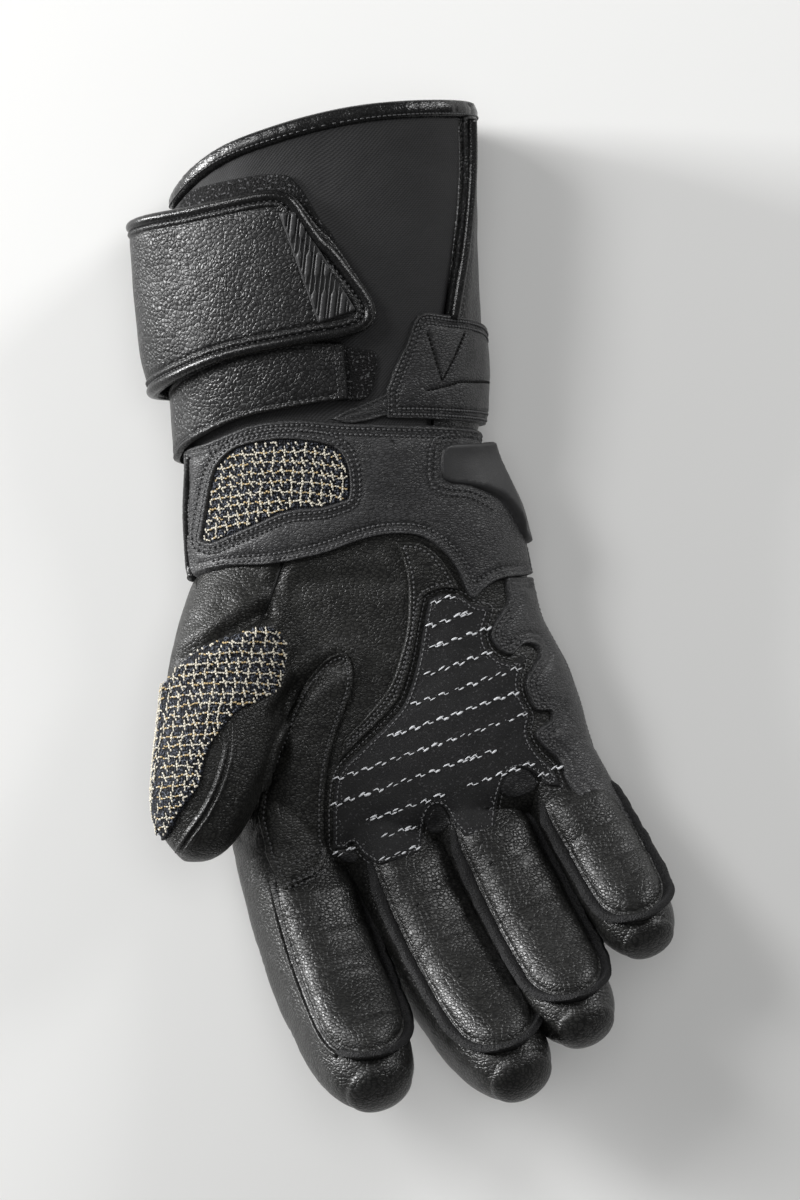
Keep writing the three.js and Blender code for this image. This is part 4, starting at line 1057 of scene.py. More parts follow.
def addStitch(bm, point, along, facing, length, thick, rise=None):
    side = facing.cross(along).normalized()
    turn = Matrix((along, side, along.cross(side))).transposed().to_4x4()
    size = Matrix.Diagonal((length / 2, thick / 2 * 1.15, (rise or thick) / 2, 1))
    bmesh.ops.create_icosphere(bm, subdivisions=1, radius=1, matrix=Matrix.Translation(point) @ turn @ size)


def stitchLine(bm, line, onto, lift, closed=False, pitch=None, length=None, thick=None, keep=None):
    # short threads along a line of the plan, each lying on the surface
    pitch = pitch or thread["pitch"]
    spots = evenLine(line, pitch, closed)
    for here, after in zip(spots, spots[1:] + ([spots[0]] if closed else [])):
        middle = ((here[0] + after[0]) / 2, (here[1] + after[1]) / 2)
        if keep and not keep(*middle):
            continue
        near = tuple(lerp(p, q, 0.2) for p, q in zip(here, after))
        far = tuple(lerp(p, q, 0.8) for p, q in zip(here, after))
        (a, facing), (b, _) = onto(*near), onto(*far)
        if (b - a).length < 1e-6 or (b - a).length > 2 * pitch:
            continue
        addStitch(bm, (a + b) / 2 + facing * lift, (b - a).normalized(), facing,
                  length or thread["length"], thick or thread["thick"])


def seamStitches(name, outline, depths, onto, lift, material, slotName, keep=None, inwards=True, **size):
    # rows of stitches at a distance inside an outline
    bm = bmesh.new()
    polygon = evenLine(outline, 0.7)
    for depth in depths:
        spots = insetPoints(polygon, depth if inwards else -depth)
        run = []
        for spot, ok in spots + spots[:1]:
            if ok or not inwards:
                run.append(spot)
                continue
            if len(run) > 5:
                stitchLine(bm, run, onto, lift, keep=keep, **size)
            run = []
        if len(run) > 5:
            stitchLine(bm, run, onto, lift, keep=keep, **size)
    return finishPiece(bm, name, material)


def sweep(points, facings, section, sides=14, closed=False, ends=True):
    # a closed section carried along a line. section gives how far aside and out it lies.
    last = len(points) - 1

    def place(u, v):
        i = round(v * last)
        if closed:
            ahead = points[(i + 1) % last] - points[(i - 1) % last]
        else:
            ahead = points[min(last, i + 1)] - points[max(0, i - 1)]
        side = ahead.cross(facings[i]).normalized()
        out = side.cross(ahead).normalized()
        a, b = section(u, v)
        return points[i] + side * a + out * b

    total = sum((a - b).length for a, b in zip(points, points[1:])) / 1000
    bm = gridPiece(sides, last, place, closed=True, scale=(0.01, total))
    return closeHoles(bm)


def roundSection(radius, squash=1.0):
    def section(u, v):
        angle = u * 2 * math.pi
        return radius * math.sin(angle), radius * squash * math.cos(angle)
    return section


def finSection(width, height, lean=0.3, wave=0.5, notch=0.4, low=-0.8, seed=1.0, length=80.0):
    # two layers of leather sewn edge up: a tall flat section with a notch between their cut edges
    def section(u, v):
        angle = u * 2 * math.pi
        s, c = math.sin(angle), math.cos(angle)
        aside = width / 2 * math.copysign(abs(s) ** 0.5, s)
        share = 0.5 + 0.5 * math.copysign(abs(c) ** 0.6, c)
        tall = height * (1 + 0.16 * ripple((v * length, 0, 3), 4.5, seed))
        tall *= smoothstep(v, 0, 0.07) * smoothstep(1 - v, 0, 0.07)
        out = low + (tall - low) * share
        if c > 0.5:
            out -= notch * math.exp(-(aside / 0.32) ** 2)
            out += 0.12 * ripple((v * length, aside, 0), 0.9, seed + 4)
        bend = lean * max(0.0, out) + wave * share * ripple((v * length, 0, 0), 8, seed)
        return aside + bend, out
    return section

print("fitting the skins")
# the wall is made of an outer and an inner skin, open at the wrist
bmesh.ops.solidify(handSkin, geom=handSkin.faces[:], thickness=glove["wall"])
finishPiece(handSkin, "handSkin", smoothLeather, ("palm_shell", "thumb"))
for name, bm in fingerSkins.items():
    finishPiece(bm, name + "Skin", fingerLeather, (name + "_finger",))

print("sewing the palm")
seamAt = {"first": 1.9, "second": 3.9}


def sideBeyond(rows, low, high):
    # the outline's points, kept within reach of the silhouette
    made = []
    for x, y in planOutline(rows):
        left, right = bodyLimits(y)
        made.append((min(max(x, left - low), right + high), y))
    return made


heel = {"height": 1.75, "left": 6.0, "right": 15.0, "wristClear": 0.4}
heelLine = [(x, min(y, glove["wristSeam"] - heel["wristClear"] + 9)) for x, y in
            sideBeyond(heelOutline, heel["left"], heel["right"])]
windowLine = planOutline(heelWindow)
sewnPiece("heelPanel", heelLine, onBody, heel["height"], greyLeather, "grey_leather", ("heel_panel",),
          seams=(1.5, 3.2), hole=windowLine, swell=0.5, groove=0.6, wave=0.25, seed=2, roll=0.4)
sewnPiece("heelWovenPatch", [tuple(p) for p, _ in insetPoints(evenLine(windowLine, 0.7), -1.5)], onBody, 1.0,
          wovenCloth, "woven_cloth", ("heel_woven_patch",), swell=0.4, edge=0.4, sink=0.4, wave=0.2)
slider = {"left": 3.2, "top": 6.0, "low": 4.1, "crest": 0.9, "rising": 5.0, "falling": 1.1, "edge": 0.9}
sliderLine = sideBeyond(sliderOutline, 9, 14)


def insideHeel(x, y):
    return bool(insidePolygon(np.array([(x, y)]), heelLine)[0]) and x < bodyLimits(y)[1] - 1.5


def sliderHeight(d, x, y, s):
    # a flat face that rises to a crest, and a bevel beyond it
    (topX, topY), (lowX, lowY) = fromPixels(490, 451), fromPixels(519, 532)
    down = min(1.0, max(0.0, (topY - y) / (topY - lowY)))
    past = x - lerp(topX, lowX, (topY - y) / (topY - lowY))
    lift = lerp(slider["left"], lerp(slider["top"], slider["low"], down), smoothstep(past, -14, 0))
    lift += slider["crest"] * math.exp(-(past / slider["rising" if past < 0 else "falling"]) ** 2)
    return lift * math.sqrt(max(0.0, 1 - (1 - min(1.0, d / slider["edge"])) ** 2))


sewnPiece("palmSlider", softened(evenLine(sliderLine, 0.7), 10), onBody, 0, mouldedRubber, "moulded_rubber",
          ("palm_slider",), edge=slider["edge"], cell=0.6, sink=-0.6, height=sliderHeight)
# the side panel meets the heel panel edge to edge
sideTop = glove["wristSeam"] - 0.3265 * glove["palmLength"]
sideLine = [(x, sideTop if y > sideTop - 3.2 else y) for x, y in sideBeyond(sideOutline, 9, 15)]
sideEnd = glove["wristSeam"] - 0.89 * glove["palmLength"]
sewnPiece("sidePanel", sideLine, onBody, 1.75, greyLeather, "grey_leather",
          ("side_panel",), seams=(1.4, 3.1), groove=0.5, swell=0.5, wave=0.3, seed=4)
sewnPiece("gripPanel", planOutline(gripOutline), onBody, 1.3, gripSuede, "grip_suede",
          ("palm_grip_panel",), edge=0.5, swell=0.5, wave=0.3, seed=6)
sewnPiece("channelStrip", planOutline(channelOutline), onBody, 1.9, smoothLeather, "smooth_leather",
          ("palm_channel_strip",), seams=(1.6,), groove=0.4, swell=0.3, wave=0.3, seed=8)
sewnPiece("webPatch", planOutline(webOutline), onBody, 1.75, smoothLeather, "smooth_leather",
          ("thumb_web_patch",), seams=(1.6,), groove=0.4, swell=0.7, wave=0.4, seed=9)
thumbLine = []
patchEnd = fromPixels(0, 838)[1]
for x, y in planOutline(thumbPatchOutline):
    # the patch ends a little above the tip of the thumb
    y = max(y, patchEnd)
    thumbLine.append((max(x, thumbLimits(y)[0] - 6.5), y))
sewnPiece("thumbWovenPatch", thumbLine, onThumb, 1.3, wovenCloth, "woven_cloth", ("thumb_woven_patch",),
          edge=0.5, swell=0.4, wave=0.3, seed=11)

# a thin line of painted shade along the seam in the palm
palmSeam = [onBody(*p) for p in smoothRun([fromPixels(*p) for p in ((283, 564), (272, 596), (259, 628))], 0.8)]
finishPiece(sweep([p for p, _ in palmSeam], [n for _, n in palmSeam], roundSection(0.42, 0.9), sides=10),
            "palmSeam", seamAndHoleShade)

# gathered leather in the forks between the fingers
forks = (("indexFork", ((336, 848), (343, 841), (352, 846), (358, 858), (350, 863), (340, 858))),
         ("middleFork", ((422, 818), (427, 806), (436, 801), (444, 807), (450, 820), (445, 829), (436, 833), (427, 829))),
         ("ringFork", ((498, 790), (500, 776), (508, 768), (518, 765), (530, 771), (537, 784), (528, 793), (511, 797))))
for name, line in forks:
    sewnPiece(name, smoothRun([fromPixels(*p) for p in line + line[:1]], 0.6)[:-1], onBody, 0.45, tabLeather,
              "smooth_leather", edge=0.9, cell=0.7, sink=0.8, wave=0.8)

heelEdge = [onBody(*p) for p in smoothRun([fromPixels(*p) for p in ((192, 456), (187, 500), (184, 535), (178, 580))], 0.8)]
finishPiece(sweep([p + n * 1.1 for p, n in heelEdge], [n for _, n in heelEdge], roundSection(1.5, 1.0), sides=16),
            "heelBinding", welted)


def inView(x, y):
    # stitches stay off the outline of the hand
    low, high = bodyLimits(y)
    return low + 2.5 < x < high - 2.5

print("making the cuff")
cuff = {"top": 0.98, "seamRecess": 1.4, "pipingRadius": 1.5, "columns": 150, "rows": 70, "wave": 0.35,
        "ridge": 1.5, "recess": 1.5}
perTurn = 0.8
mouthLine = smoothRun([(x * glove["cuffWidth"], glove["wristSeam"] + up * glove["cuffLength"])
                       for x, up in mouthEdge], 1.0)
seamLine = smoothRun([(x * glove["cuffWidth"], glove["wristSeam"] + up * glove["cuffLength"])
                      for x, up in cuffSeam], 1.0)


def alongLine(line, value, key):
    # the other coordinate of a line where its key coordinate has a value
    other = 1 - key
    ordered = sorted(line, key=lambda p: p[key])
    if value <= ordered[0][key]:
        return ordered[0][other]
    for a, b in zip(ordered, ordered[1:]):
        if value <= b[key]:
            return lerp(a[other], b[other], (value - a[key]) / max(1e-9, b[key] - a[key]))
    return ordered[-1][other]


def mouthY(turn):
    # where the cuff ends at a turn round it
    y = glove["wristSeam"] + glove["cuffLength"]
    for _ in range(12):
        y = lerp(y, alongLine(mouthLine, bodyPoint(turn, y).x, 0), 0.7)
    return y


def seamX(y):
    return alongLine(seamLine, y, 1)


def cuffSheet(name, turns, columns, material, replaced, recess=0.0):
    # turns gives the two turns between which the sheet lies at a height
    low = glove["wristSeam"] + glove["gap"] / 2
    faces = []

    def surface(offset):
        def place(u, v):
            y = low
            for _ in range(6):
                a, b = turns(y)
                turn = lerp(a, b, u)
                y = lerp(low, mouthY(turn), v)
            a, b = turns(y)
            turn = lerp(a, b, u)
            point, facing = cuffFrame(turn, y)
            lift = cuff["wave"] * ripple(point, 22, 3) + 0.15 * ripple(point, 8, 6)
            if replaced == "cuff_back_side":
                lift += cuff["ridge"] * math.exp(-((turn - a - 9) / 9) ** 2)
            else:
                lift -= cuff["recess"] * (1 - smoothstep((b - turn) * perTurn, 0.4, 3.2))
            return point + facing * (lift - offset)
        return place
    outer = gridPiece(columns, cuff["rows"], surface(recess), scale=(columns / 1000, 0.106))
    bmesh.ops.recalc_face_normals(outer, faces=outer.faces)
    middle = max(outer.faces, key=lambda f: f.calc_center_median().z)
    if middle.normal.z < 0:
        bmesh.ops.reverse_faces(outer, faces=outer.faces[:])
    bmesh.ops.solidify(outer, geom=outer.faces[:], thickness=glove["wall"] - recess)
    return finishPiece(outer, name, material, (replaced,), 40)


def clothTurns(y):
    return turnAtHeight(24, y), turnAtX(seamX(y) - cuff["seamRecess"], y)


def backTurns(y):
    return turnAtX(seamX(y) - cuff["seamRecess"], y), turnAtHeight(24, y) + 360


cuffSheet("cuffPalmSide", clothTurns, 110, cuffCloth, "cuff_palm_side")
cuffSheet("cuffBackSide", backTurns, 170, strapLeather, "cuff_back_side")

binding = {"steps": 360, "halfThick": 2.5, "halfTall": 2.7, "below": 2.0, "gathers": 0.12, "stitch": 1.5}
rim, rimFacing = [], []
for k in range(binding["steps"]):
    turn = 360 * k / binding["steps"] - 180
    y = mouthY(turn) - binding["below"]
    point, facing = cuffFrame(turn, y, -glove["wall"] / 2)
    rim.append(point)
    rimFacing.append(facing)
rim.append(rim[0].copy())
rimFacing.append(rimFacing[0].copy())


def bindingSection(u, v):
    angle = u * 2 * math.pi
    s, c = math.sin(angle), math.cos(angle)
    pleats = 1 + binding["gathers"] * ripple((v * 260, 0, 0), 2.2, 5)
    aside = binding["halfTall"] * math.copysign(abs(s) ** 0.75, s)
    out = binding["halfThick"] * math.copysign(abs(c) ** 0.75, c) * pleats
    out -= 0.45 * math.exp(-((aside + binding["stitch"]) / 0.45) ** 2) * max(0.0, c)
    return aside, out + 0.12 * ripple((v * 260, aside * 2, 0), 1.6, 2)


mouthTube = sweep(rim, rimFacing, bindingSection, sides=20, closed=True)
bmesh.ops.remove_doubles(mouthTube, verts=mouthTube.verts, dist=0.02)
bmesh.ops.recalc_face_normals(mouthTube, faces=mouthTube.faces)
finishPiece(mouthTube, "mouthBinding", welted, ("mouth_binding",))

pipeLine, pipeFacing = [], []
for x, y in evenLine(seamLine, 1.2, closed=False):
    if y < mouthY(turnAtX(x, y)) - 4.5 and y > glove["wristSeam"] + 0.36 * glove["cuffLength"]:
        point, facing = cuffFrame(turnAtX(x, y), y, 1.5)
        pipeLine.append(point)
        pipeFacing.append(facing)
piping = sweep(pipeLine, pipeFacing, roundSection(cuff["pipingRadius"]), sides=16)
finishPiece(piping, "cuffPiping", welted, ("cuff_piping",))

print("laying the straps")


def edgesAt(rows, turn):
    row = tableAt(rows, min(max(turn, rows[0][0]), rows[-1][0]))
    return (glove["wristSeam"] + row[1] * glove["cuffLength"], glove["wristSeam"] + row[2] * glove["cuffLength"])


def bandOutline(rows):
    # the band's outline, laid out flat: its turns by a scale, and its heights
    top = [(row[0] * perTurn, glove["wristSeam"] + row[1] * glove["cuffLength"]) for row in rows]
    bottom = [(row[0] * perTurn, glove["wristSeam"] + row[2] * glove["cuffLength"]) for row in rows]
    return smoothRun(top, 0.7) + smoothRun(bottom, 0.7)[::-1]


def onBand(offset):
    def onto(x, y):
        turn = x / perTurn
        return cuffFrame(turn, y, offset(turn, y))
    return onto


strap = {
    "slackTurn": -84, "slackSpread": 24, "slackHigh": 9, "slackLow": 2.6,
    "high": 3.7, "low": 6.15, "sewn": 2.15, "sewnFrom": 96, "sewnTo": 118,
    "roll": 1.65, "rollRadius": 1.7, "thin": 0.2, "groove": 0.4, "welt": 4.0, "weltHalf": 0.9,
    "weltHeight": 1.45, "face": 1.0, "corners": 36,
}


def strapMiddle(turn, y):
    high, low = edgesAt(closureStrapRows, turn)
    t = min(1.0, max(0.0, (high - y) / (high - low)))
    lying = lerp(strap["high"], strap["low"], t)
    slack = lerp(strap["slackHigh"], strap["slackLow"], t)
    slack *= math.exp(-((turn - strap["slackTurn"]) / strap["slackSpread"]) ** 2)
    return lerp(lying, strap["sewn"], smoothstep(-turn, strap["sewnFrom"], strap["sewnTo"])) + slack


def bulge(d, middle, half):
    share = abs(d - middle) / half
    return math.sqrt(max(0.0, 1 - share * share))


def strapHeight(d, x, y, s):
    if d < 2.6:
        lift = strap["thin"]
    else:
        welt = lerp(strap["groove"], strap["weltHeight"], bulge(d, strap["welt"], strap["weltHalf"]))
        face = strap["face"] * smoothstep(d, strap["welt"] + 0.7, strap["welt"] + 1.4)
        lift = max(strap["groove"], welt if abs(d - strap["welt"]) < strap["weltHalf"] else 0, face)
    puckers = 0.16 * math.cos(2 * math.pi * s / 1.5) * math.exp(-((d - 3.6) / 0.8) ** 2)
    return lift + puckers + 0.25 * ripple((x, y, 0), 11, 3) * smoothstep(d, 4, 9)


strapLine = softened(evenLine(bandOutline(closureStrapRows), 0.7), strap["corners"])
flatStrap, strapLoops = flatSheet(evenLine(strapLine, 0.7), [0.5, 1.5, 2.55, 2.65, 3.1, 3.3, 3.65, 4.0,
                                                             4.35, 4.7, 4.9, 5.3], 0.95)
layOn(flatStrap, strapLoops, onBand(strapMiddle), strapHeight, 1.2)
faceSheet, faceLoops = flatSheet(evenLine(strapLine, 1.0), [1.5], 1.3)
layOn(faceSheet, faceLoops, onBand(strapMiddle), lambda d, x, y, s: strap["face"], 0.5)
strapTree = BVHTree.FromBMesh(faceSheet)
faceSheet.free()
finishPiece(flatStrap, "closureStrap", strapLeather, ("closure_strap",))
rollLine = [spot for spot, ok in insetPoints(evenLine(strapLine, 0.8), strap["roll"]) if ok]
start = min(range(len(rollLine)), key=lambda i: rollLine[i][0] + (rollLine[i][1] > 80) * 50)
rollLine = rollLine[start:] + rollLine[:start]
for _ in range(4):
    middles = [tuple((p + 2 * q + r) / 4 for p, q, r in zip(*three))
               for three in zip(rollLine, rollLine[1:], rollLine[2:])]
    rollLine = [rollLine[0]] + middles + [rollLine[-1]]
rollLine = evenLine(rollLine, 0.8, closed=False)
spots = [onBand(strapMiddle)(x, y) for x, y in rollLine]
rolledEdge = sweep([p for p, _ in spots], [n for _, n in spots], roundSection(strap["rollRadius"], 1.1), sides=20)
finishPiece(rolledEdge, "strapRolledEdge", welted, ("strap_rolled_edge",))


def wristDrop(turn, y):
    return lerp(2.3, 0.4, smoothstep(-turn, 106, 118))


sewnPiece("wristStrap", bandOutline(wristStrapRows), onBand(wristDrop), 1.9, strapLeather, "strap_leather",
          ("wrist_strap",), seams=(1.7,), edge=0.8, groove=0.35, swell=0.3, sink=0.0, wave=0.2)


def onCuff(x, y):
    return cuffFrame(x / perTurn, y)


sewnPiece("upperLoopPatch", bandOutline(upperLoopRows), onCuff, 1.35, loopTape, "loop_tape",
          ("upper_loop_patch",), edge=0.4, sink=0.5, wave=0.2)
sewnPiece("lowerLoopPatch", bandOutline(lowerLoopRows), onCuff, 1.35, loopTape, "loop_tape",
          ("lower_loop_patch",), edge=0.4, sink=0.5, wave=0.2)


def onFlatCuff(points):
    # places in plan as flat coordinates round the cuff
    spots = [fromPixels(*p) for p in points]
    return [(turnAtX(x, y) * perTurn, y) for x, y in spots]


tabSeams = [onFlatCuff(line) for line in (((425, 335), (439, 383), (460, 335)), ((425, 392), (456, 383), (484, 382)))]
plainTab = cutEdge(1.9, (1.5, 3.2), edge=0.7, groove=0.6, swell=0.4, wave=0.25)


def lineDistance(line, x, y):
    nearest = 1e9
    for a, b in zip(line, line[1:]):
        along = (b[0] - a[0], b[1] - a[1])
        share = ((x - a[0]) * along[0] + (y - a[1]) * along[1]) / (along[0] ** 2 + along[1] ** 2)
        share = min(1.0, max(0.0, share))
        nearest = min(nearest, math.hypot(x - a[0] - share * along[0], y - a[1] - share * along[1]))
    return nearest


def tabHeight(d, x, y, s):
    near = min(lineDistance(line, x, y) for line in tabSeams)
    return plainTab(d, x, y, s) - 0.6 * math.exp(-(near / 0.6) ** 2)


sewnPiece("anchorTab", bandOutline(anchorTabRows), onCuff, 1.9, tabLeather, "smooth_leather",
          ("anchor_tab",), seams=(1.5, 3.2), edge=0.7, cell=0.75, sink=0.5, height=tabHeight)
tail = onFlatCuff([(330, 421), (345, 413), (365, 405), (385, 396), (398, 388), (412, 384), (420, 398), (404, 410),
                   (380, 420), (350, 426)])
sewnPiece("tabTail", smoothRun(tail + tail[:1], 0.7)[:-1], onCuff, 1.6, tabLeather, "smooth_leather",
          seams=(1.3,), groove=0.45, sink=0.5)

insert = {"pitch": 2.85, "wide": 1.7, "thin": 0.62, "base": 0.35, "rib": 1.1, "lean": 0.11, "neck": 4.5}
insertCorners = [fromPixels(*p) for p in ((281, 221), (299, 220), (357, 316), (320, 329))]


def onStrap(x, y):
    spot, facing, _, _ = strapTree.ray_cast(Vector((x, y, glove["farUp"])), Vector((0, 0, -1)))
    return (spot, facing) if facing.z > 0 else (spot, -facing)


def clipped(polygon, frame):
    # the part of a polygon inside a convex frame
    side = 1 if turnsLeft(frame) else -1
    for a, b in zip(frame, frame[1:] + frame[:1]):
        kept = []
        depths = [side * ((b[0] - a[0]) * (p[1] - a[1]) - (b[1] - a[1]) * (p[0] - a[0])) for p in polygon]
        for i, (p, d) in enumerate(zip(polygon, depths)):
            q, e = polygon[i - 1], depths[i - 1]
            if (d >= 0) != (e >= 0):
                kept.append(tuple(lerp(u, v, e / (e - d)) for u, v in zip(q, p)))
            if d >= 0:
                kept.append(p)
        polygon = kept
    return polygon


def slatOutline(x, top, low, half, neck, necks):
    # a leaning slat, from top to low, narrowed for a while below each neck
    left, right = [], []
    marks = [(top, half)]
    for y in necks:
        marks += [(y, half), (y - 1.2, neck), (y - insert["neck"], neck), (y - insert["neck"] - 1.2, half)]
    for y, width in marks + [(low, half)]:
        middle = x - (top - y) * insert["lean"]
        left.append((middle - width, y))
        right.append((middle + width, y))
    return left + right[::-1]


ribbed, ribLoops = flatSheet(evenLine(insertCorners, 0.6), [0.2, 0.5], 0.9)
layOn(ribbed, ribLoops, onStrap, cutEdge(insert["base"], edge=0.3), 0.6)
ribFrame = [spot for spot, _ in insetPoints(insertCorners, 0.4)]
topY, lowY = insertCorners[0][1] + 1, insertCorners[2][1] - 5
slats = []
x = min(p[0] for p in insertCorners) - 1
while x < max(p[0] for p in insertCorners) + 6:
    slats.append(slatOutline(x, topY, lowY, insert["wide"] / 2, insert["thin"] / 2, (topY - 7.5, topY - 19)))
    slats.append(slatOutline(x + insert["pitch"] / 2, topY, lowY, insert["thin"] / 2, insert["thin"] / 2, ()))
    x += insert["pitch"]
for slat in slats:
    slat = clipped(slat, ribFrame)
    if len(slat) > 2 and max(math.dist(p, q) for p in slat for q in slat) > 2.5:
        flat, loops = flatSheet(evenLine(slat, 0.45), [0.18], 0.5)
        layOn(flat, loops, onStrap, cutEdge(insert["rib"], edge=0.25), 0.3)
        joinInto(ribbed, flat)
finishPiece(ribbed, "ribbedInsert", mouldedRubber, ("strap_ribbed_insert",))

print("sewing the fingers")
front = {"halfSpan": 50, "tipFrom": 0.8, "tipTo": 0.955, "thick": 1.2, "rowStep": 0.012, "under": 0.1}


def frontHalf(t):
    past = max(0.0, (t - front["tipFrom"]) / (front["tipTo"] - front["tipFrom"]))
    return front["halfSpan"] * math.sqrt(max(0.0, 1 - past ** 2.4))


def frontSide(line, finger, side):
    # one side of the front panel, laid out flat: round the finger, and along it
    perDegree = line.half * math.pi / 180
    made = []
    t = finger["frontFrom"] - front["under"]
    while t < front["tipTo"]:
        made.append((side * frontHalf(t) * perDegree, t * line.length))
        t += front["rowStep"] * (0.25 if t > 0.93 else 1)
    return made


def onFinger(line):
    perDegree = line.half * math.pi / 180

    def onto(x, y):
        return line.faced(y / line.length, x / perDegree)
    return onto


fin = {"width": 2.3, "height": 3.3, "lean": 0.3, "wave": 0.6}
lipHalf = 2.1


def seamSection(u, v):
    # two soft lips with a furrow between them, flat where the seam starts
    angle = u * 2 * math.pi
    aside = lipHalf * math.sin(angle)
    lips = math.exp(-((abs(aside) - lipHalf / 2) / 0.55) ** 2) * smoothstep(v, 0.02, 0.3)
    top = 0.15 + 0.75 * lips - 0.5 * math.exp(-(aside / 0.3) ** 2)
    return aside, top * bulge(aside, 0, lipHalf) ** 0.5 if math.cos(angle) > 0 else -0.8


def spanOf(points):
    return sum((a - b).length for a, b in zip(points, points[1:]))


def sewFin(name, spots, lean, seed):
    points = [p for p, _ in spots]
    section = finSection(fin["width"], fin["height"], lean, fin["wave"], seed=seed, length=spanOf(points))
    return finishPiece(sweep(points, [n for _, n in spots], section, sides=18), name, rawEdge)


frontTrees = {}
for name, line in fingerLines.items():
    finger = fingers[name]
    onto = onFinger(line)
    left, right = frontSide(line, finger, -1), frontSide(line, finger, 1)
    border = left + [(0, front["tipTo"] * line.length)] + right[::-1]

    def frontHeight(d, x, y, s, line=line, finger=finger):
        t = y / line.length
        lift = front["thick"] * math.sqrt(max(0.0, 1 - (1 - min(1.0, d / 0.7)) ** 2))
        lift -= 0.35 * math.exp(-((d - 1.4) / 0.6) ** 2)
        lift += 1.5 * (1 - math.exp(-max(0.0, d - 1.5) / 4.0))
        lift += 0.12 * math.exp(-((d - 1.2) / 1.3) ** 2) * math.cos(2 * math.pi * s / 1.7)
        for k, crease in enumerate(finger["creases"]):
            # a shallow crease that fades towards one side, with a soft swelling past it
            fade = smoothstep(math.sin(k * 2.3 + line.half) * x, -9, 6)
            away = (t - crease) * line.length + 0.12 * x + 1.1 * ripple((x, 0, crease * 40), 6)
            lift -= fade * (0.34 * math.exp(-(away / 0.8) ** 2) - 0.16 * math.exp(-((away - 2.6) / 1.8) ** 2))
            lift -= fade * 0.14 * math.exp(-((away + 1.9) / 0.5) ** 2)
        lift += 0.5 * ripple((x, y, 0), 12, line.half) + 0.1 * ripple((x, y, 0), 3.5, line.half)
        # the upper end thins out where it runs under the palm
        start = finger["frontFrom"] - front["under"]
        return lift * smoothstep(t, start, start + 0.1) - 0.4 * (1 - smoothstep(t, start, start + 0.04))
    flat, loops = flatSheet(evenLine(border, 0.7), ringsFor((1.4,), 0.7), 0.85)
    layOn(flat, loops, onto, frontHeight, 0.5)
    frontTrees[name] = BVHTree.FromBMesh(flat)
    finishPiece(flat, name + "Front", fingerLeather, (name + "_front",))
    path = evenLine([(x * 1.04, y) for x, y in border], 0.8, closed=False)
    if name == "index":
        # its outer seam is pressed flat and sewn across with a ladder of stitches
        turnOver = next(i for i, (x, y) in enumerate(path) if y > 0.9 * line.length)
        flatSeam = [onto(x - 0.6, y) for x, y in path[:turnOver]]
        points = [p for p, _ in flatSeam]
        bm = sweep(points, [n for _, n in flatSeam], seamSection, sides=32)
        finishPiece(bm, "indexSideSeam", fingerLeather)
        ladder = bmesh.new()
        for (x, y), (point, facing) in zip(path[3:turnOver:1], flatSeam[3:]):
            ahead = onto(x, y + 1)[0] - onto(x, y)[0]
            across = ahead.cross(facing).normalized()
            addStitch(ladder, point - across * 1.4 + facing * 0.7, across, facing, 1.9, 0.4)
        finishPiece(ladder, "indexLadder", blackThread)
        path = path[turnOver - 4:]
    sewFin(name + "Seam", [onto(*p) for p in path], fin["lean"], line.half)

thumbSeam = smoothRun(
    [fromPixels(*p) for p in ((234, 721), (232, 749), (224, 779), (211, 807), (193, 833), (182, 850))], 0.8)
spots = [onThumb(*p) for p in thumbSeam]
thumbRibbon = sweep([p for p, _ in spots], [n for _, n in spots], seamSection, sides=32)
finishPiece(thumbRibbon, "thumbSeam", fingerLeather)

# small holes pricked through the finger fronts, drawn as discs of painted shade
holes = bmesh.new()
for x, y in ((320, 916), (417, 902), (458, 970), (490, 861), (528, 924)):
    x, y = fromPixels(x, y)
    for tree in frontTrees.values():
        spot, facing, _, _ = tree.ray_cast(Vector((x, y, glove["farUp"])), Vector((0, 0, -1)))
        if spot is not None:
            addStitch(holes, spot, facing.orthogonal().normalized(), facing, 1.6, 1.4, 0.3)
            break
finishPiece(holes, "pinHoles", seamAndHoleShade)

print("weaving the patches")
tweed = {"pitch": 2.95, "upright": 3.1, "level": 3.0, "thick": 0.61}


def blob(bm, onto, x, y, angle, length, thick, lift):
    # a short soft length of yarn lying on the surface
    dx, dy = math.cos(angle) * length / 2, math.sin(angle) * length / 2
    (a, facing), (b, _) = onto(x - dx, y - dy), onto(x + dx, y + dy)
    if 0.2 * length < (b - a).length < 2 * length:
        addStitch(bm, (a + b) / 2 + facing * lift, (b - a).normalized(), facing, (b - a).length, thick)


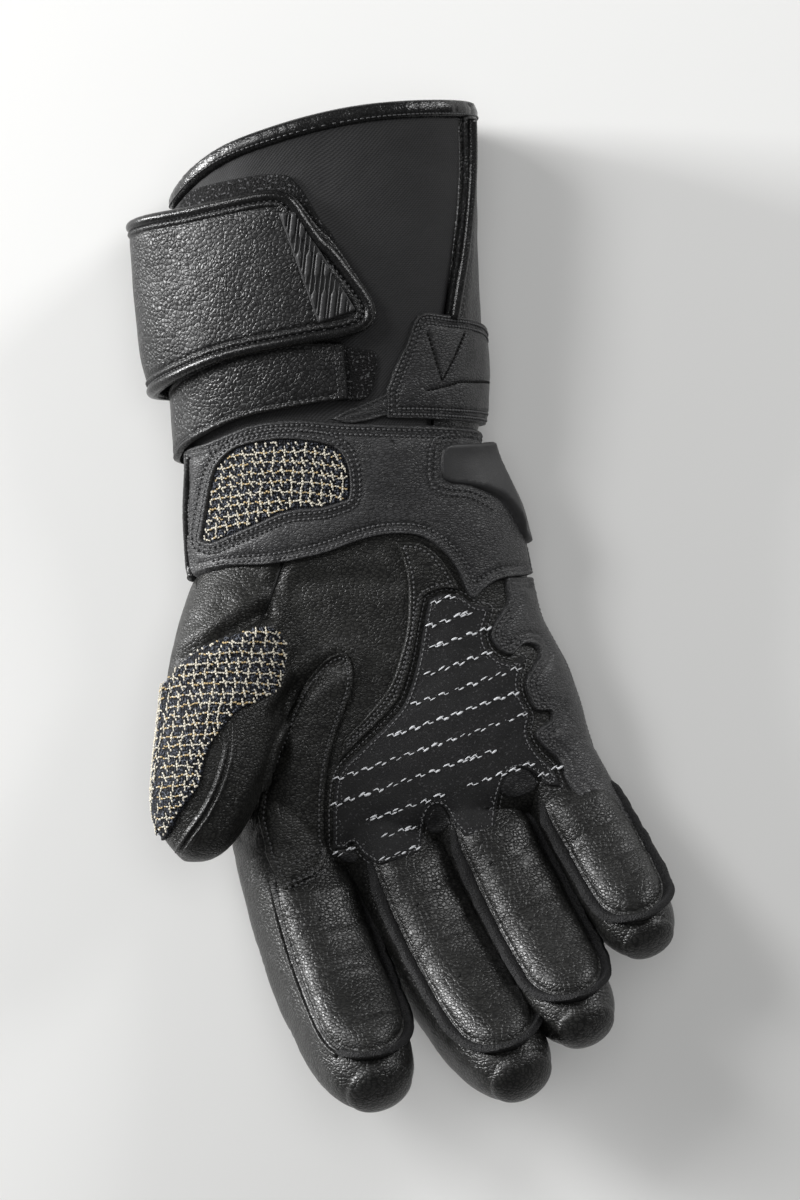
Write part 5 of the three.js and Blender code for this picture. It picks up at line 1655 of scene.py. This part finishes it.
def weave(name, outline, onto, lift, lean, rowSlope, bow, seed):
    # a windowpane of pale threads over a darker ground, following the outline of a patch
    chance = random.Random(seed)
    polygon = evenLine(outline, 0.7)
    xs, ys = [p[0] for p in polygon], [p[1] for p in polygon]
    bright, gold, ground = bmesh.new(), bmesh.new(), bmesh.new()
    columns = math.ceil((max(xs) - min(xs)) / tweed["pitch"]) + 4
    rows = math.ceil((max(ys) - min(ys)) / tweed["pitch"]) + 6
    centre = ((min(xs) + max(xs)) / 2, (min(ys) + max(ys)) / 2)

    def spot(i, j):
        x = (i - columns / 2) * tweed["pitch"]
        y = (j - rows / 2) * tweed["pitch"]
        return (centre[0] + x - y * lean, centre[1] + y + x * rowSlope - bow * x * x)
    for i in range(columns):
        for j in range(rows):
            bits = []
            x, y = spot(i, j)
            x += chance.uniform(-0.22, 0.22)
            y += chance.uniform(-0.22, 0.22)
            up = math.pi / 2 + lean + 0.35 + chance.uniform(-0.3, 0.3)
            for k in (-1.5, -0.5, 0.5, 1.5):
                reach = k * tweed["upright"] / 4
                size = tweed["thick"] * chance.uniform(0.75, 1.25) * (1.15 if abs(k) < 1 else 0.75)
                bits.append((bright, x + math.cos(up) * reach + chance.uniform(-0.14, 0.14),
                             y + math.sin(up) * reach, up + chance.uniform(-0.4, 0.4),
                             tweed["upright"] / 3.2, size, 0.12))
            level = math.atan(rowSlope) + chance.uniform(-0.25, 0.25)
            for k in (-1.6, -0.8, 0.8, 1.6):
                reach = k * tweed["level"] / 4
                pale = gold if chance.random() < 0.4 else bright
                bits.append((pale, x + math.cos(level) * reach, y + math.sin(level) * reach
                             + chance.uniform(-0.16, 0.16), level + chance.uniform(-0.5, 0.5),
                             tweed["level"] / 3.4, tweed["thick"] * chance.uniform(0.6, 1.1), 0.06))
            for _ in range(8):
                bits.append((ground, x + chance.uniform(0.5, 2.4), y + chance.uniform(0.5, 2.4),
                             chance.uniform(0, 3.1), chance.uniform(0.6, 1.1), chance.uniform(0.3, 0.46), -0.02))
            inside = insidePolygon(np.array([(bit[1], bit[2]) for bit in bits]), polygon)
            for bit, ok in zip(bits, inside):
                if ok:
                    blob(bit[0], onto, bit[1], bit[2], bit[3], bit[4], bit[5], lift + bit[6])
    finishPiece(bright, name + "Cream", creamYarn)
    finishPiece(gold, name + "Gold", goldYarn)
    finishPiece(ground, name + "Ground", blueYarn)


weave("heelTweed", [tuple(p) for p, _ in insetPoints(evenLine(windowLine, 0.7), 0.5)], onBody, 1.45,
      -0.1, 0.02, 0.006, 3)
weave("thumbTweed", [tuple(p) for p, _ in insetPoints(evenLine(thumbLine, 0.7), 0.3)], onThumb, 1.75,
      -0.18, 0.05, 0.004, 5)

print("printing the grip")
dashes = {"slope": 0.341, "period": 13.9, "length": 2.7, "thick": 0.62, "second": (5.8, 2.4), "lift": 1.75}
# each row of dashes: its height where it crosses x = 427, and the stretches that it covers
dashRows = [
    (603, (432, 446)), (625, (428, 467)), (647, (432, 483)), (672, (427, 488)), (697, (413, 524)),
    (721, (391, 520)), (745, (337, 519)), (770, (334, 499)), (796, (367, 439), (469, 538)),
    (820, (336, 363), (385, 418)), (842, (383, 414)), (811, (539, 556)),
]
gripLine = evenLine(planOutline(gripOutline), 0.7)
printed, dotted = bmesh.new(), bmesh.new()
chance = random.Random(12)
for height, *stretches in dashRows:
    for low, high in stretches:
        x = low
        while x < high:
            weight = 0.95 + 0.75 * ripple((x, height * 3, 0), 42, 3)
            for dx, dy, share in ((0, 0, 1.0), (dashes["second"][0], dashes["second"][1], 0.85)):
                px = x + dx + chance.uniform(-0.6, 0.6)
                py = height - (px - 427) * dashes["slope"] + dy + chance.uniform(-0.5, 0.5)
                spot = fromPixels(px, py)
                angle = math.atan(dashes["slope"]) + 0.2 + chance.uniform(-0.16, 0.16)
                blob(printed, onBody, spot[0], spot[1], angle, dashes["length"] * share * chance.uniform(0.8, 1.1),
                     dashes["thick"] * weight * chance.uniform(0.55, 1.2), dashes["lift"])
                if share == 1.0 and weight > 0.8:
                    # the thin slant that joins the two
                    blob(printed, onBody, spot[0] + 0.85, spot[1] - 0.1, -0.75, 1.1, 0.36, dashes["lift"])
            x += dashes["period"] / 2 * (1 if chance.random() < 0.12 else 2)
for k, (spot, ok) in enumerate(insetPoints(gripLine, 1.6)):
    if ok and chance.random() < 0.5:
        blob(dotted, onBody, spot[0] + chance.uniform(-0.9, 0.9), spot[1] + chance.uniform(-0.9, 0.9),
             chance.uniform(0, 3.1), 0.5, 0.3, dashes["lift"] - 0.1)
finishPiece(printed, "gripDashes", silverInk)
finishPiece(dotted, "gripDots", greyThread)

print("stitching")
seamStitches("gripStitches", planOutline(gripOutline), (1.1,), onBody, 1.5, greyThread, "grip_suede", thick=0.42)
seamStitches("gripBorder", planOutline(gripOutline), (1.1,), onBody, 0.2, greyThread, "smooth_leather", thick=0.42,
             inwards=False)
seamStitches("heelStitches", heelLine, (1.5, 3.2), onBody, 1.75, blackThread, "grey_leather", keep=inView)
seamStitches("windowStitches", windowLine, (1.5, 3.2), onBody, 1.85, blackThread, "grey_leather", inwards=False)
seamStitches("sliderStitches", sliderLine, (1.3, 3.0), onBody, 2.75, blackThread, "grey_leather", inwards=False,
             keep=insideHeel)
seamStitches("sideStitches", sideLine, (1.4, 3.1), onBody, 1.75, blackThread, "grey_leather", keep=inView)
seamStitches("webStitches", planOutline(webOutline), (1.6,), onBody, 1.6, blackThread, "smooth_leather")
seamStitches("channelStitches", planOutline(channelOutline), (1.6,), onBody, 1.75, blackThread, "smooth_leather")
seamStitches("tabStitches", bandOutline(anchorTabRows), (1.5, 3.2), onCuff, 1.85, blackThread, "smooth_leather")
seamStitches("wristStrapStitches", bandOutline(wristStrapRows), (1.7,), onBand(wristDrop), 1.75, blackThread,
             "strap_leather", thick=0.4)
seamStitches("strapStitches", strapLine, (3.05,), onBand(strapMiddle), 0.75, blackThread, "strap_leather",
             pitch=1.6, length=1.25)
webMarks = bmesh.new()
for line in (((291, 864), (321, 851)), ((289, 888), (323, 875)), ((287, 884), (322, 871))):
    stitchLine(webMarks, evenLine([fromPixels(*p) for p in line], 0.6, closed=False), onBody, 2.6)
finishPiece(webMarks, "webMarks", blackThread)
# the tab's V seams: stitch marks in their grooves, near black as painted shade
tabMarks = bmesh.new()
for line in tabSeams:
    stitchLine(tabMarks, evenLine(line, 0.6, closed=False), onCuff, 1.95)
finishPiece(tabMarks, "tabMarks", seamAndHoleShade)
bindingStitches = bmesh.new()
for k in range(0, binding["steps"], 2):
    point, facing = cuffFrame(360 * k / binding["steps"] - 180, mouthY(360 * k / binding["steps"] - 180) - 3.5, 1.45)
    after = cuffFrame(360 * (k + 1) / binding["steps"] - 180,
                      mouthY(360 * (k + 1) / binding["steps"] - 180) - 3.5, 1.45)[0]
    addStitch(bindingStitches, point, (after - point).normalized(), facing, 1.4, 0.45)
finishPiece(bindingStitches, "bindingStitches", blackThread)

print("setting the stage")
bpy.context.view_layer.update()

middle = Vector((frameShift.x / 1000, frameShift.y / 1000, 0))
camera = {"height": 1.6, "focal": 157.0, "sensor": 36.0}
lens = bpy.data.cameras.new("camera")
lens.sensor_fit = "VERTICAL"
lens.sensor_height = camera["sensor"]
lens.lens = camera["focal"]
eye = bpy.data.objects.new("camera", lens)
eye.location = middle + Vector((0, 0, camera["height"]))
bpy.context.scene.collection.objects.link(eye)
bpy.context.scene.camera = eye

floorFinish = Finish("floor", {"Base Color": (0.8, 0.8, 0.79, 1), "Roughness": 0.75, "Specular IOR Level": 0.2})
floorMesh = bmesh.new()
bmesh.ops.create_grid(floorMesh, x_segments=1, y_segments=1, size=6)
mesh = bpy.data.meshes.new("floor")
floorMesh.to_mesh(mesh)
floorMesh.free()
mesh.materials.append(floorFinish.material)
floor = bpy.data.objects.new("floor", mesh)
bpy.context.scene.collection.objects.link(floor)


def softLight(name, spot, size, power, target=(0, 0, 0.02)):
    light = bpy.data.lights.new(name, "AREA")
    light.shape = "RECTANGLE"
    light.size, light.size_y = size
    light.energy = power
    lamp = bpy.data.objects.new(name, light)
    lamp.location = spot
    lamp.rotation_euler = (Vector(target) - Vector(spot)).to_track_quat("-Z", "Y").to_euler()
    bpy.context.scene.collection.objects.link(lamp)
    return lamp


lamps = [
    softLight("key", (-1.35, 0.4, 0.26), (0.35, 0.8), 40),
    softLight("fill", (-0.9, 0.6, 1.15), (0.45, 0.45), 8),
    softLight("rim", (1.1, 1.0, 0.7), (0.4, 0.9), 11),
    softLight("top", (0.1, 0.2, 2.3), (1.2, 1.2), 13),
]
lamps[-1].visible_glossy = False
world = bpy.data.worlds.new("studio")
world.use_nodes = True
world.node_tree.nodes["Background"].inputs["Color"].default_value = (1, 1, 1, 1)
world.node_tree.nodes["Background"].inputs["Strength"].default_value = 0.1
bpy.context.scene.world = world
bpy.context.scene.view_settings.view_transform = "Standard"
